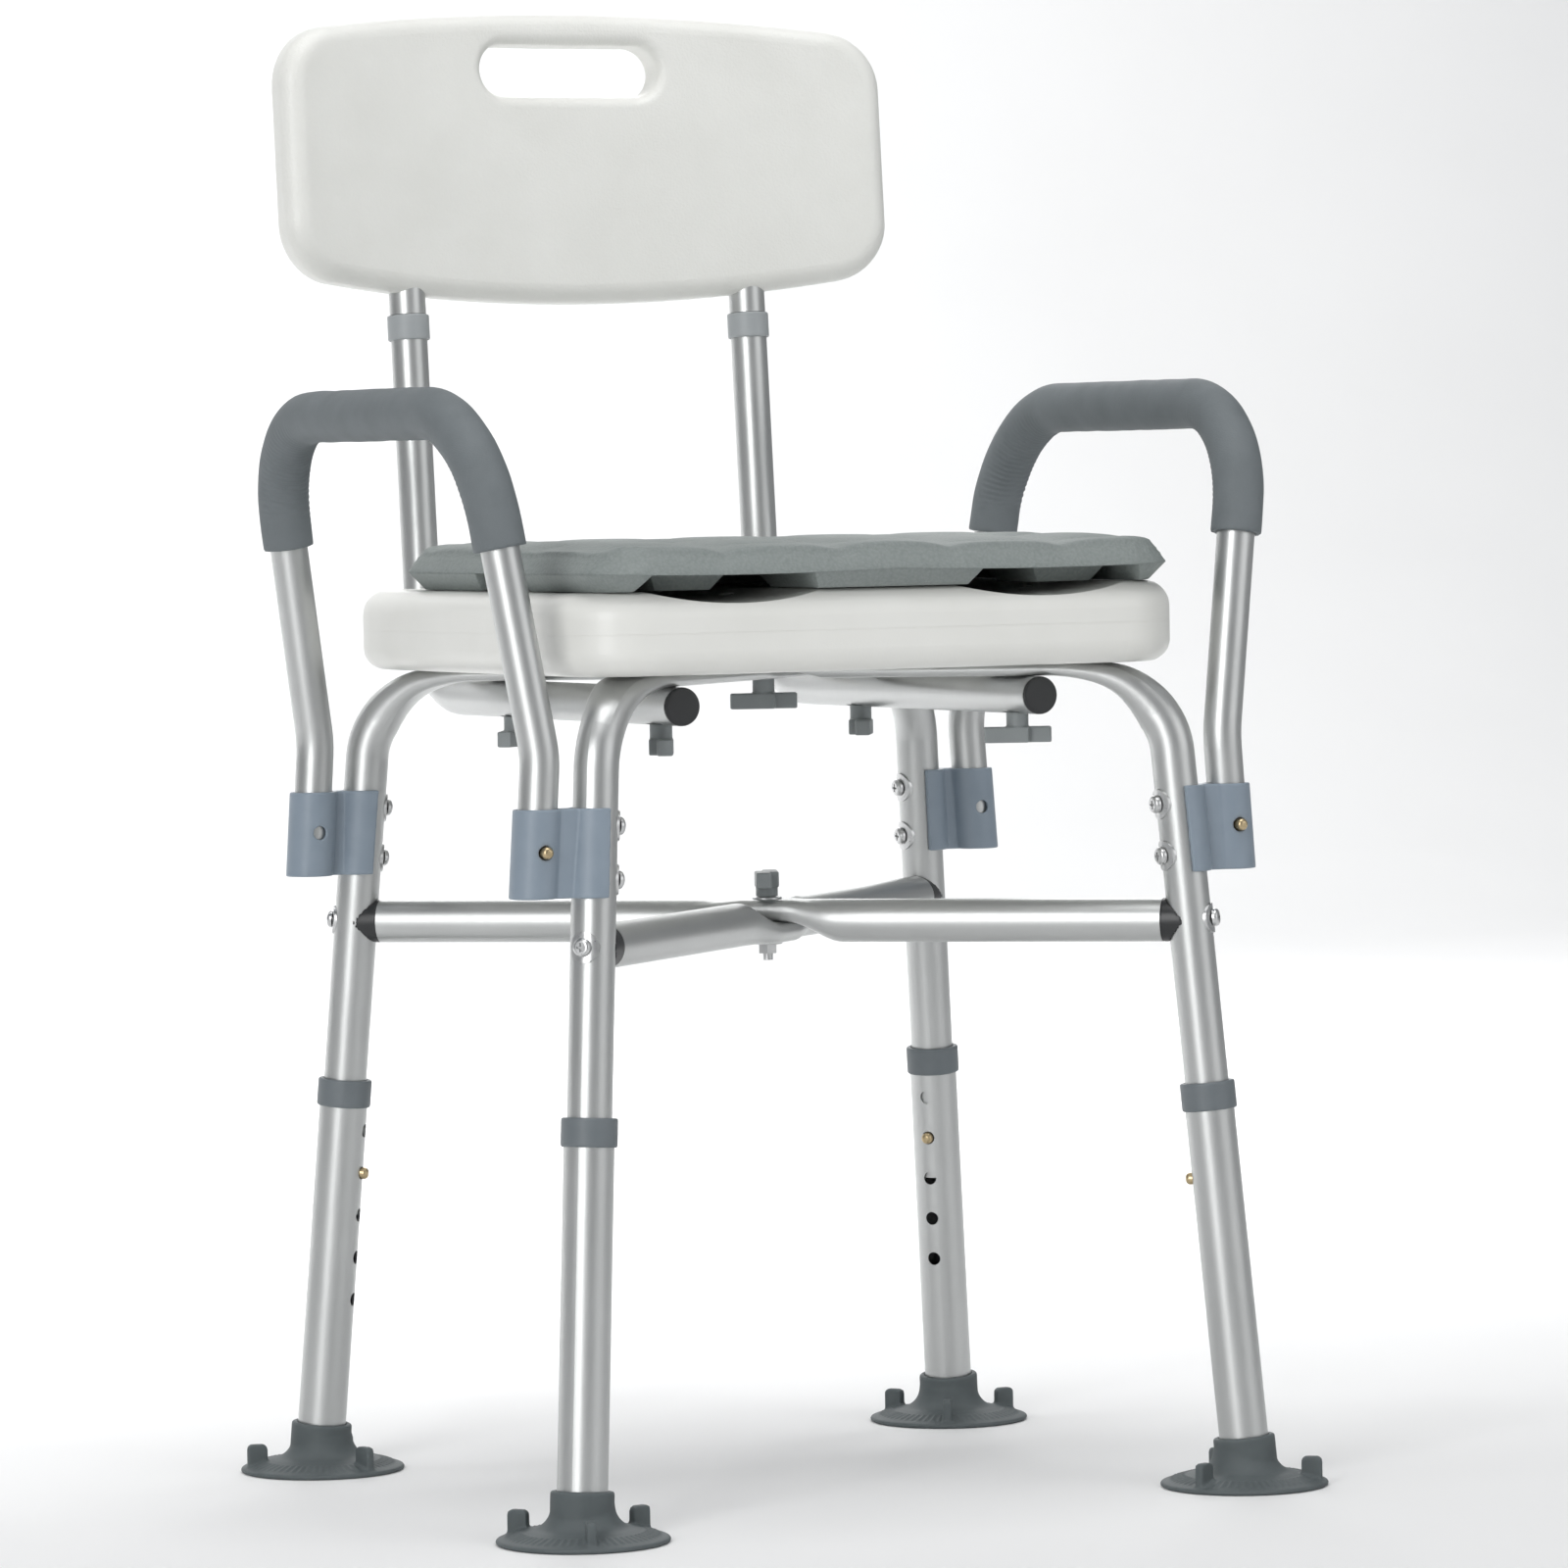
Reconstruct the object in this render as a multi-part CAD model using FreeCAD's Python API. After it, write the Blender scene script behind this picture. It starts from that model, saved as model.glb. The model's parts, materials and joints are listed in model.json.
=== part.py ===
"""Height-adjustable shower chair: hollow seat and backrest, two lift-off armrests, a loose cushion,
telescopic legs and suction feet.

All sizes are in millimetres.  +Z is up and the sitter faces -Y.  The chair is drawn about the middle of
its seat, and the finished parts are moved so that the origin is on the floor, under the middle of the
chair's outer box.  Each sub-part is written to parts/NODE.step.
"""
import FreeCAD
import Part
import math
import os

V = FreeCAD.Vector

# ---- driving dimensions -----------------------------------------------------------------------------

# Seat panel, a hollow blow-moulded shell
seat_half_width = 197.0
seat_half_depth = 172.5
seat_underside = 480.0       # height of its lower face above the floor
seat_thickness = 47.0
seat_corner = 48.0
seat_edge_low = 13.0
seat_edge_high = 15.0
shell_wall = 2.6             # wall of the seat and of the backrest
scoop_radius = 230.0
scoop_depth = 7.0
scoop_inset = 99.0           # side of the seat to the middle of a thigh scoop
scoop_rear_margin = 62.5     # rear edge of the seat to the end of a scoop
drain_diameter = 9.0
drain_pitch_x = 60.0
drain_pitch_y = 90.0
insert_wall = 2.1            # wall of the threaded inserts in the seat
insert_height = 15.0

# Seat frame: two arched tubes that cross under the seat, one in each diagonal plane
leg_inset_x = 15.5           # side of the seat to a leg axis, at the seat's underside
leg_inset_y = 16.4
leg_lean = 5.19              # degrees that a leg leans inwards as it rises
frame_od = 25.4
frame_wall = 1.5
bend_radius = 44.0           # centre line of the bend at the top of each leg
round_bend_degrees = 30.0    # first part of the bend, where the tube is still round
strap_thickness = 7.6        # both tubes together, where they are pressed flat under the seat
crossing_ramp = 14.0

# Telescopic lower legs
slide_gap = 0.3              # radial gap between a telescoping tube and the tube around it
lower_wall = 1.3
hole_pitch = 25.4
hole_count = 5
button_hole = 2              # the hole that the snap button is in, counted from the top
button_height = 180.0        # leg buttons above the floor
leg_tube_start = 8.0         # lower end of each lower tube above the floor
collar_height = 16.5
collar_wall = 1.7
collar_top_hole = 22.0       # top hole of a lower tube to the middle of its collar
collar_lip = 3.0             # part of the collar that covers the end of the lower tube

# Snap buttons and their leaf springs
button_diameter = 7.0
button_gap = 0.5             # radial gap of a button in its holes
button_proud = 4.0
button_flange = 9.0
button_flange_thickness = 1.0
button_depth = 2.7           # back of a button inside the tube wall
spring_width = 6.0
spring_thickness = 0.6
spring_length = 38.0
spring_back_gap = 0.9        # rear leaf to the far side of the tube

# Suction feet
foot_diameter = 98.0
foot_height = 29.0
foot_neck_wall = 3.7
foot_rim = 3.0               # thickness of the disc at its edge
foot_ring = 10.0             # width of the flat ring that rests on the floor
foot_cup_depth = 5.0
foot_flare = 11.5            # radial width of the curve from the neck to the disc
foot_flare_top = 21.0
foot_flare_low = 8.0
tab_count = 3
tab_inset = 9.5              # edge of the disc to the middle of a lift tab
tab_length = 12.0
tab_height = 17.2
tab_thickness = 5.4
foot_turns = {"front_left": 11, "front_right": 84, "rear_left": 46, "rear_right": 1}

# Cross brace
brace_drop = 150.5           # seat underside to the axes of the brace tubes
brace_od = 25.4
brace_wall = 1.3
brace_pad = 3.0              # saddle thickness between a leg and the end of a brace tube
brace_plug_length = 22.0
brace_screw_grip = 16.0      # length of an end screw beyond the leg
brace_flat_half = 12.0       # half length of the pressed part in the middle
brace_press_length = 34.0    # length over which the round tube turns flat

# Fasteners
bolt_diameter = 6.0
bolt_gap = 0.4               # radial gap of a bolt in its hole
bolt_tail = 4.0              # thread that shows below the nut of the brace
screw_diameter = 5.0
screw_head = 10.4
screw_head_height = 3.4
washer_diameter = 17.5
washer_thickness = 1.2
recess_size = 5.0
recess_slot = 1.2
recess_depth = 1.8
nut_across_flats = 10.0
nut_height = 5.0

# T-shaped knobs, and the turn at which each one stands
knob_span = 39.5
knob_bar_height = 9.3
knob_wing_width = 9.0
knob_wing_offset = 2.5
knob_edge = 0.8
knob_stem_diameter = 13.0
knob_stem_height = 8.6
knob_gap = 0.3
knob_bolt_reach = 12.0       # length of a knob's bolt above the seat's underside
knob_turns = {"front_left": 63, "front_right": -27, "rear_left": 38, "rear_right": 58, "centre": -24}
brace_knob_stem = 5.5
brace_knob_turn = 66.0

# Arm brackets, outside each leg
bracket_drop = 72.0          # seat underside to the top of a bracket
bracket_height = 50.0
bracket_gap = 7.8            # free width between a leg and an arm socket
socket_wall = 2.6
saddle_wall = 3.0
saddle_wrap = 2.5            # part of a bracket that reaches past the middle of its leg
web_thickness = 12.5
bracket_screw_spacing = 30.0
bracket_screw_grip = 5.0     # length of a bracket screw beyond the leg
arm_button_lift = 26.0       # bottom of a bracket to its button hole

# Armrests
arm_od = 22.2
arm_wall = 1.3
arm_end_lift = 3.0           # lower end of an arm tube above the bottom of its bracket
arm_end_inset = 3.9          # leg axis to arm axis along Y, at the middle of a bracket
arm_kink_lift = 29.0         # top of a bracket to the bend above it
arm_rise = 149.5             # seat underside to the level run of an armrest
arm_lean_out = 0.150         # outward travel per millimetre of height above the kink
arm_lean_front = 0.090       # backward travel of the front upright per millimetre of height
arm_lean_rear = 0.055        # forward travel of the rear upright
arm_kink_radius = 70.0
arm_bend_radius = 68.0
grip_wall = 3.9
grip_drop = 76.5             # level run of an armrest to the ends of its grip

# Back posts
post_inset = 81.5            # side of the seat to a post axis
post_od = 22.2
post_wall = 1.3
post_overhang = 27.0         # front knob to the front end of a post
post_bend_radius = 58.0
post_lean = 4.46             # degrees that the posts lean backwards
post_setback = 54.9          # rear edge of the seat to a post axis, at the seat's underside
post_rise = 209.0            # seat underside to the top of a post
post_cap_head = 2.0
post_cap_plug = 11.0
post_dent = 1.2              # depth of the flat pressed into a post over each knob
post_dent_length = 20.0
post_collar_wall = 1.7
post_collar_height = 15.5
post_collar_lip = 3.0
back_button_drop = 36.0      # top of a post to the button under it
spigot_length = 55.0
stub_length = 75.0           # part of a stub tube inside the backrest

# Backrest panel
back_half_width = 203.0
back_lift = 10.0             # top of the posts to the lowest point of the panel
back_height = 179.0
back_drop_low = 15.5         # rise of the lower edge from the middle to the sides
back_drop_high = 17.0
back_cover = 2.9             # plastic between a stub tube and the faces of the panel
back_hollow_depth = 30.0     # how far the sides stand in front of the middle
back_corner_low = 36.0
back_corner_high = 38.0
back_edge = 11.0
back_screw_first = 12.0      # lower corner of the panel to the first screw
back_screw_spacing = 28.0
slot_drop = 36.0             # top of the panel to the middle of the hand slot
slot_half_length = 60.5
slot_opening = 32.0
slot_edge = 7.0

# Cushion
cushion_side_margin = 10.0   # side of the seat to the side of the cushion
cushion_front_overhang = 3.5
cushion_rear_margin = 56.5
cushion_corner = 34.0
cushion_gap = 0.4
cushion_rim_height = 10.6    # seat top to the sharp rim
cushion_shoulder_height = 14.0
cushion_crown_height = 2.5
cushion_under_inset = 9.0
cushion_shoulder_inset = 9.0
cushion_crown_inset = 40.0

# ---- derived dimensions -----------------------------------------------------------------------------

lean = math.radians(leg_lean)
leg_top_x = seat_half_width - leg_inset_x
leg_top_y = seat_half_depth - leg_inset_y
turn = math.atan2(leg_top_y, leg_top_x)
frame_turn = math.degrees(turn)                # X axis to the diagonal planes
leg_reach = math.hypot(leg_top_x, leg_top_y) + math.tan(lean) * seat_underside
frame_radius = frame_od / 2
seat_top = seat_underside + seat_thickness
scoop_offset = seat_half_width - scoop_inset
scoop_rear = seat_half_depth - scoop_rear_margin

lower_bore = frame_od + 2 * slide_gap
lower_od = lower_bore + 2 * lower_wall
collar_od = lower_od + 2 * collar_wall
foot_neck = lower_od + 2 * foot_neck_wall
hole_diameter = button_diameter + 2 * button_gap
bolt_hole = bolt_diameter + 2 * bolt_gap
insert_diameter = bolt_hole + 2 * insert_wall
brace_height = seat_underside - brace_drop

bracket_bottom = seat_underside - bracket_drop - bracket_height
bracket_middle = bracket_bottom + bracket_height / 2
socket_bore = arm_od + 2 * slide_gap
socket_od = socket_bore + 2 * socket_wall
socket_offset = frame_radius + bracket_gap + socket_od / 2
arm_button_height = bracket_bottom + arm_button_lift
arm_kink_height = bracket_bottom + bracket_height + arm_kink_lift
arm_top_height = seat_underside + arm_rise
grip_od = arm_od + 2 * grip_wall
grip_end_height = arm_top_height - grip_drop

post_angle = math.radians(post_lean)
post_half_gap = seat_half_width - post_inset
crossing_y = post_half_gap * math.tan(turn)    # distance of the knobs under a post from the X axis
post_front = -crossing_y - post_overhang
post_axis_height = seat_underside - strap_thickness - post_od / 2
post_under = post_axis_height - post_od / 2
post_top = seat_underside + post_rise
post_collar_od = post_od + 2 * post_collar_wall
spigot_od = post_od - 2 * post_wall - 2 * slide_gap
back_button_height = post_top - back_button_drop

back_low = post_top + back_lift
back_high = back_low + back_height
back_middle_height = (back_low + back_high) / 2
back_thickness = post_od + 2 * back_cover
back_curve_radius = (back_half_width ** 2 + back_hollow_depth ** 2) / (2 * back_hollow_depth)
stub_setback = back_curve_radius - math.sqrt(back_curve_radius ** 2 - post_half_gap ** 2)
slot_height = back_high - slot_drop

cushion_half_width = seat_half_width - cushion_side_margin
cushion_front = -seat_half_depth - cushion_front_overhang
cushion_rear = seat_half_depth - cushion_rear_margin
cushion_rim = seat_top + cushion_rim_height
cushion_shoulder = cushion_rim + cushion_shoulder_height
cushion_top = cushion_shoulder + cushion_crown_height

CORNERS = {
    "front_left": (-1, -1),
    "front_right": (1, -1),
    "rear_left": (-1, 1),
    "rear_right": (1, 1),
}
SIDES = {"left": -1, "right": 1}
UP = V(0, 0, 1)
BIG = 1000.0                                   # half size of the blocks that trim other shapes
EPSILON = 1e-3


def corner_degrees(side, end):
    """Turn about Z that brings the +X axis onto a corner's diagonal."""
    return math.degrees(math.atan2(end * math.sin(turn), side * math.cos(turn)))


def leg_radius_at(height):
    return leg_reach - math.tan(lean) * height


def leg_point(side, end, height):
    radius = leg_radius_at(height)
    return V(side * math.cos(turn) * radius, end * math.sin(turn) * radius, height)


def along_leg(height):
    """Distance along a leg from the floor to a height."""
    return height / math.cos(lean)


# ---- shape helpers ----------------------------------------------------------------------------------

def rod(start, end, diameter):
    """Solid round bar between two points."""
    direction = end.sub(start)
    return Part.makeCylinder(diameter / 2, direction.Length, start, direction)


def turned(shape, axis, degrees):
    result = shape.copy()
    result.rotate(V(0, 0, 0), axis, degrees)
    return result


def moved(shape, offset):
    result = shape.copy()
    result.translate(offset)
    return result


def mirrored(shape, normal):
    return shape.mirror(V(0, 0, 0), normal)


def at_sides(shape, side, end):
    """Copy of a shape modelled on the +X, +Y corner, for any corner."""
    result = shape
    if side < 0:
        result = mirrored(result, V(1, 0, 0))
    if end < 0:
        result = mirrored(result, V(0, 1, 0))
    return result


def on_leg(shape, side, end):
    """Place a shape from the leg's own frame: Z up the leg from the floor, +X away from the chair."""
    tilted = turned(shape, V(0, 1, 0), -leg_lean)
    tilted.translate(V(leg_reach, 0, 0))
    return turned(tilted, UP, corner_degrees(side, end))


def facing_in(shape, side, end, height):
    """Place a shape from the leg's own frame at a height, with its +X side turned to the other leg."""
    facing = 180 if side > 0 else 0
    twisted = turned(shape, UP, facing - corner_degrees(side, end))
    return on_leg(moved(twisted, V(0, 0, along_leg(height))), side, end)


def level_slab(low, high):
    return Part.makeBox(2 * BIG, 2 * BIG, high - low, V(-BIG, -BIG, low))


def fused(shapes):
    return shapes[0].fuse(shapes[1:]).removeSplitter()


def polygon_face(corners):
    return Part.Face(Part.makePolygon(corners + [corners[0]]))


def rounded_plate(half_x, half_y, low, high, corner):
    """Rectangular plate with upright rounded corners."""
    plate = Part.makeBox(2 * half_x, 2 * half_y, high - low, V(-half_x, -half_y, low))
    upright = [edge for edge in plate.Edges if abs(edge.tangentAt(edge.FirstParameter).z) > 0.9]
    return plate.makeFillet(corner, upright)


def outline_at(half_x, half_y, height, corner, centre_y):
    """Rounded rectangle as a wire at one height."""
    plate = rounded_plate(half_x, half_y, height, height + 1, corner)
    base = min(plate.Faces, key=lambda face: face.CenterOfMass.z)
    return Part.Wire(Part.__sortEdges__(moved(base, V(0, centre_y, 0)).Edges))


def oval(centre, thin, side, od, flat, flatness, inset):
    """Section of a partly flattened tube: flatness 0 is round, 1 is fully pressed to thickness flat."""
    radius = od / 2 - inset
    half_flat = flat / 2 - inset
    half_run = (od - flat) * math.pi / 4
    diagonal = radius * math.sqrt(0.5)
    corner_x = (1 - flatness) * diagonal + flatness * half_run
    corner_y = (1 - flatness) * diagonal + flatness * half_flat
    middle_y = (1 - flatness) * radius + flatness * half_flat
    middle_x = (1 - flatness) * radius + flatness * (half_run + half_flat)

    def point(x, y):
        return centre + side * x + thin * y

    def edge(first, middle, last):
        if flatness == 1 and abs(first[1] - last[1]) < EPSILON:
            return Part.LineSegment(point(*first), point(*last)).toShape()
        return Part.Arc(point(*first), point(*middle), point(*last)).toShape()

    return Part.Wire([
        edge((corner_x, corner_y), (0, middle_y), (-corner_x, corner_y)),
        edge((-corner_x, corner_y), (-middle_x, 0), (-corner_x, -corner_y)),
        edge((-corner_x, -corner_y), (0, -middle_y), (corner_x, -corner_y)),
        edge((corner_x, -corner_y), (middle_x, 0), (corner_x, corner_y)),
    ])


def half_depth(od, flat, flatness):
    return (1 - flatness) * od / 2 + flatness * flat / 2


def smooth_step(share):
    return share * share * (3 - 2 * share)


def rounded_path(points, radii):
    """Straight runs joined by tangent arcs; radii belong to the inner points."""
    edges = []
    last = points[0]
    for before, corner, after, radius in zip(points, points[1:], points[2:], radii):
        back = (before - corner).normalize()
        ahead = (after - corner).normalize()
        half_angle = back.getAngle(ahead) / 2
        reach = radius / math.tan(half_angle)
        middle = (back + ahead).normalize()
        arc_middle = corner + middle * (radius / math.sin(half_angle) - radius)
        arc_start = corner + back * reach
        arc_end = corner + ahead * reach
        edges.append(Part.LineSegment(last, arc_start).toShape())
        edges.append(Part.Arc(arc_start, arc_middle, arc_end).toShape())
        last = arc_end
    edges.append(Part.LineSegment(last, points[-1]).toShape())
    return Part.Wire(edges)


def swept(path, diameter):
    """Round bar along a path."""
    first = path.Edges[0]
    start = first.valueAt(first.FirstParameter)
    direction = first.tangentAt(first.FirstParameter)
    section = Part.Wire(Part.makeCircle(diameter / 2, start, direction))
    return path.makePipeShell([section], True, False)


def swept_tube(path, od, wall):
    return swept(path, od).cut(swept(path, od - 2 * wall))


def pan_screw(length):
    """Cross-recessed pan-head screw; the head sits on Z = 0 and the shank points down."""
    shank = Part.makeCylinder(screw_diameter / 2, length, V(0, 0, -length))
    head = Part.makeCylinder(screw_head / 2, screw_head_height)
    rim = [edge for edge in head.Edges if edge.BoundBox.ZMin > screw_head_height - EPSILON]
    head = head.makeFillet(screw_head_height * 0.62, rim)
    for size_x, size_y in ((recess_size, recess_slot), (recess_slot, recess_size)):
        corner = V(-size_x / 2, -size_y / 2, screw_head_height - recess_depth)
        head = head.cut(Part.makeBox(size_x, size_y, recess_depth, corner))
    return shank.fuse(head)


def flat_washer():
    """Flat washer for a bolt, from Z = 0 to its thickness."""
    ring = Part.makeCylinder(washer_diameter / 2, washer_thickness)
    rim = [edge for edge in ring.Edges if edge.BoundBox.ZMin > washer_thickness - EPSILON]
    ring = ring.makeFillet(washer_thickness * 0.45, rim)
    return ring.cut(Part.makeCylinder(bolt_hole / 2, washer_thickness))


def saddle_washer():
    """Washer bent around a leg: the tube's axis is Z, and the screw comes in along -X at Z = 0."""
    low = V(0, 0, -washer_diameter / 2)
    high = V(0, 0, washer_diameter / 2)
    shell = rod(low, high, frame_od + 2 * washer_thickness).cut(rod(low, high, frame_od))
    centre = V(0, 0, 0)
    outside = V(frame_od, 0, 0)
    ring = shell.common(rod(centre, outside, washer_diameter))
    return ring.cut(rod(centre, outside, screw_diameter))


def leg_screw(grip):
    """Screw through a leg along -X at Z = 0, on a bent washer; grip is its length beyond the leg."""
    length = frame_od + washer_thickness + grip
    return pointing(pan_screw(length), V(frame_radius + washer_thickness, 0, 0), V(1, 0, 0))


def pointing(shape, origin, direction):
    """Turn a shape's +Z axis to a direction and move its origin to a point."""
    result = shape.copy()
    result.Placement = FreeCAD.Placement(origin, FreeCAD.Rotation(UP, direction))
    return result


NODES = {}


def keep(name, shape):
    NODES[name] = shape


# ---- seat frame -------------------------------------------------------------------------------------

bend_centre_height = seat_underside - frame_radius - bend_radius
bend_centre_radius = leg_radius_at(bend_centre_height) - bend_radius / math.cos(lean)
bend_start = V(
    bend_centre_radius + bend_radius * math.cos(lean),
    0,
    bend_centre_height + bend_radius * math.sin(lean),
)
strap_half_width = (frame_od - strap_thickness) * math.pi / 4 + strap_thickness / 2
strap_start = bend_centre_radius - frame_od
crossing_half = strap_half_width * 1.35
crossing_end = crossing_half + crossing_ramp
inner_end_height = button_height - hole_pitch * math.cos(lean)


def bend_section(degrees, flatness, inset):
    """Tube section on the bend; degrees are counted from the leg, and the outer side keeps its radius."""
    angle = lean + math.radians(degrees)
    outward = V(math.cos(angle), 0, math.sin(angle))
    depth = half_depth(frame_od, strap_thickness, flatness)
    centre = V(bend_centre_radius, 0, bend_centre_height) + outward * (bend_radius + frame_radius - depth)
    return oval(centre, outward, V(0, 1, 0), frame_od, strap_thickness, flatness, inset)


def strap_section(radius, flatness, inset):
    depth = half_depth(frame_od, strap_thickness, flatness)
    centre = V(radius, 0, seat_underside - depth)
    return oval(centre, UP, V(0, 1, 0), frame_od, strap_thickness, flatness, inset)


def frame_arm(inset):
    """Solid of one leg and its bend up to the flat strap, drawn in by inset."""
    start = V(leg_radius_at(inner_end_height), 0, inner_end_height)
    leg = rod(start, bend_start, frame_od - 2 * inset)
    circle = Part.Wire(Part.makeCircle(frame_radius - inset, bend_start, start - bend_start))
    bend_centre = V(bend_centre_radius, 0, bend_centre_height)
    bend = Part.Face(circle).revolve(bend_centre, V(0, -1, 0), round_bend_degrees)
    flattening = 90 - leg_lean - round_bend_degrees
    sections = []
    for share, flatness in ((0.0, 0.0), (0.25, 0.10), (0.5, 0.28), (0.75, 0.50), (1.0, 0.72)):
        sections.append(bend_section(round_bend_degrees + share * flattening, flatness, inset))
    sections.append(strap_section((bend_centre_radius + strap_start) / 2, 0.92, inset))
    sections.append(strap_section(strap_start, 1.0, inset))
    press = Part.makeLoft(sections, True, False)
    return [leg, bend, press]


def strap_bar(inset):
    """Flat strap from the end of the bend to the ramp before the crossing."""
    section = Part.Face(strap_section(crossing_end, 1.0, inset))
    return section.extrude(V(strap_start - crossing_end, 0, 0))


def crossing_bar(low, high):
    """Middle of a strap, pressed to half thickness where the two frame tubes cross."""
    flat = high - low
    half_run = strap_half_width - flat / 2

    def pressed(radius):
        centre = V(radius, 0, (low + high) / 2)
        top = [centre + V(0, half_run, flat / 2), centre + V(0, -half_run, flat / 2)]
        bottom = [centre + V(0, -half_run, -flat / 2), centre + V(0, half_run, -flat / 2)]
        left = centre + V(0, -strap_half_width, 0)
        right = centre + V(0, strap_half_width, 0)
        return Part.Wire([
            Part.LineSegment(*top).toShape(),
            Part.Arc(top[1], left, bottom[0]).toShape(),
            Part.LineSegment(*bottom).toShape(),
            Part.Arc(bottom[1], right, top[0]).toShape(),
        ])

    plate = Part.Face(pressed(-crossing_half)).extrude(V(2 * crossing_half, 0, 0))
    ramp = Part.makeLoft([strap_section(crossing_end, 1.0, 0), pressed(crossing_half)], True, True)
    return [plate, ramp, mirrored(ramp, V(1, 0, 0))]


def frame_tube(low, high):
    """One arched frame tube in the XZ plane, flat in the middle between heights low and high."""
    outer = fused(frame_arm(0) + [strap_bar(0)])
    inner = fused(frame_arm(frame_wall) + [strap_bar(frame_wall)])
    half = outer.cut(inner).cut(level_slab(seat_underside, seat_top))
    tube = fused([half, mirrored(half, V(1, 0, 0))] + crossing_bar(low, high))
    crossing = post_half_gap / math.cos(turn)
    for radius in (-crossing, 0, crossing):
        tube = tube.cut(rod(V(radius, 0, seat_underside - frame_od), V(radius, 0, seat_top), bolt_hole))
    return tube


def leg_holes(side, end):
    """Holes in a leg: for the brace screw and, on its inner side, for the snap button."""
    button = rod(V(-frame_od, 0, 0), V(0, 0, 0), hole_diameter)
    return Part.makeCompound([
        on_leg(moved(brace_screw_bore(), V(0, 0, along_leg(brace_height))), side, end),
        on_leg(moved(button, V(0, 0, along_leg(button_height))), side, end),
    ])


def brace_screw_bore():
    return rod(V(-frame_od, 0, 0), V(frame_od, 0, 0), screw_diameter)


def bracket_screw_heights():
    return (bracket_middle - bracket_screw_spacing / 2, bracket_middle + bracket_screw_spacing / 2)


def bracket_screw_holes(side, end):
    """Two holes across a leg and into its bracket."""
    hole = rod(V(-frame_od, 0, 0), V(frame_od, 0, 0), screw_diameter)
    return Part.makeCompound([facing_in(hole, side, end, height) for height in bracket_screw_heights()])


def seat_frame():
    middle = seat_underside - strap_thickness / 2
    layers = {
        "seat_frame_tube_upper": (middle, seat_underside, -frame_turn, ("front_right", "rear_left")),
        "seat_frame_tube_lower": (seat_underside - strap_thickness, middle, frame_turn,
                                  ("front_left", "rear_right")),
    }
    for name, (low, high, degrees, corners) in layers.items():
        tube = turned(frame_tube(low, high), UP, degrees)
        for corner in corners:
            tube = tube.cut(leg_holes(*CORNERS[corner])).cut(bracket_screw_holes(*CORNERS[corner]))
        keep(name, tube)


# ---- lower legs, collars, feet ----------------------------------------------------------------------

button_along = along_leg(button_height)
top_hole_along = button_along + (button_hole - 1) * hole_pitch
collar_bottom_along = top_hole_along + collar_top_hole - collar_height / 2
collar_top_along = collar_bottom_along + collar_height
lower_top_along = collar_top_along - collar_lip


def lower_leg_tube():
    """Lower tube in the leg's own frame, with a row of button holes in its inner side."""
    start = V(0, 0, along_leg(leg_tube_start))
    top = V(0, 0, lower_top_along)
    tube = rod(start, top, lower_od).cut(rod(start, top, lower_bore))
    for number in range(hole_count):
        height = top_hole_along - number * hole_pitch
        tube = tube.cut(rod(V(-lower_od, 0, height), V(0, 0, height), hole_diameter))
    return tube


def leg_collar():
    """Plastic cap on the top of a lower tube; its lip guides the upper tube."""
    low = V(0, 0, collar_bottom_along)
    body = rod(low, V(0, 0, collar_top_along), collar_od)
    rims = [edge for edge in body.Edges if isinstance(edge.Curve, Part.Circle)]
    body = body.makeFillet(collar_wall * 0.7, rims)
    body = body.cut(rod(low, V(0, 0, lower_top_along), lower_od))
    return body.cut(rod(low, V(0, 0, collar_top_along), lower_bore))


def foot_profile():
    """Half section of the disc and its flare, as a face in the XZ plane."""
    rim = foot_diameter / 2
    neck = foot_neck / 2
    cup = rim - foot_ring
    foot_lip = foot_rim / 2
    flare_end = V(neck + foot_flare, 0, foot_flare_low)
    flare_start = V(neck, 0, foot_flare_top)
    flare_middle = V(neck + foot_flare * 0.24, 0, foot_flare_low + (foot_flare_top - foot_flare_low) * 0.36)
    under = [
        V(0, 0, foot_flare_top),
        V(0, 0, foot_cup_depth),
        V(cup / 2, 0, foot_cup_depth * 0.8),
        V(cup, 0, 0),
        V(rim - foot_lip, 0, 0),
    ]
    edges = [Part.LineSegment(first, second).toShape() for first, second in zip(under, under[1:])]
    edge_middle = V(rim, 0, foot_lip)
    edges.append(Part.Arc(under[-1], edge_middle, V(rim - foot_lip, 0, foot_rim)).toShape())
    edges.append(Part.LineSegment(V(rim - foot_lip, 0, foot_rim), flare_end).toShape())
    edges.append(Part.Arc(flare_end, flare_middle, flare_start).toShape())
    edges.append(Part.LineSegment(flare_start, under[0]).toShape())
    return Part.Face(Part.Wire(edges))


def foot_tab():
    """Upright lift tab near the edge of the disc, in the XZ plane."""
    corner = V(foot_diameter / 2 - tab_inset - tab_length / 2, -tab_thickness / 2, foot_rim / 2)
    tab = Part.makeBox(tab_length, tab_thickness, tab_height - corner.z, corner)
    ends = [edge for edge in tab.Edges
            if edge.BoundBox.ZMin > tab_height - EPSILON and edge.BoundBox.XLength < EPSILON]
    return tab.makeFillet(tab_length / 4, ends)


def foot_disc():
    """Suction disc about the Z axis, with its lift tabs."""
    disc = foot_profile().revolve(V(0, 0, 0), UP, 360)
    tabs = [turned(foot_tab(), UP, number * 360 / tab_count) for number in range(tab_count)]
    return disc.fuse(tabs)


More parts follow.
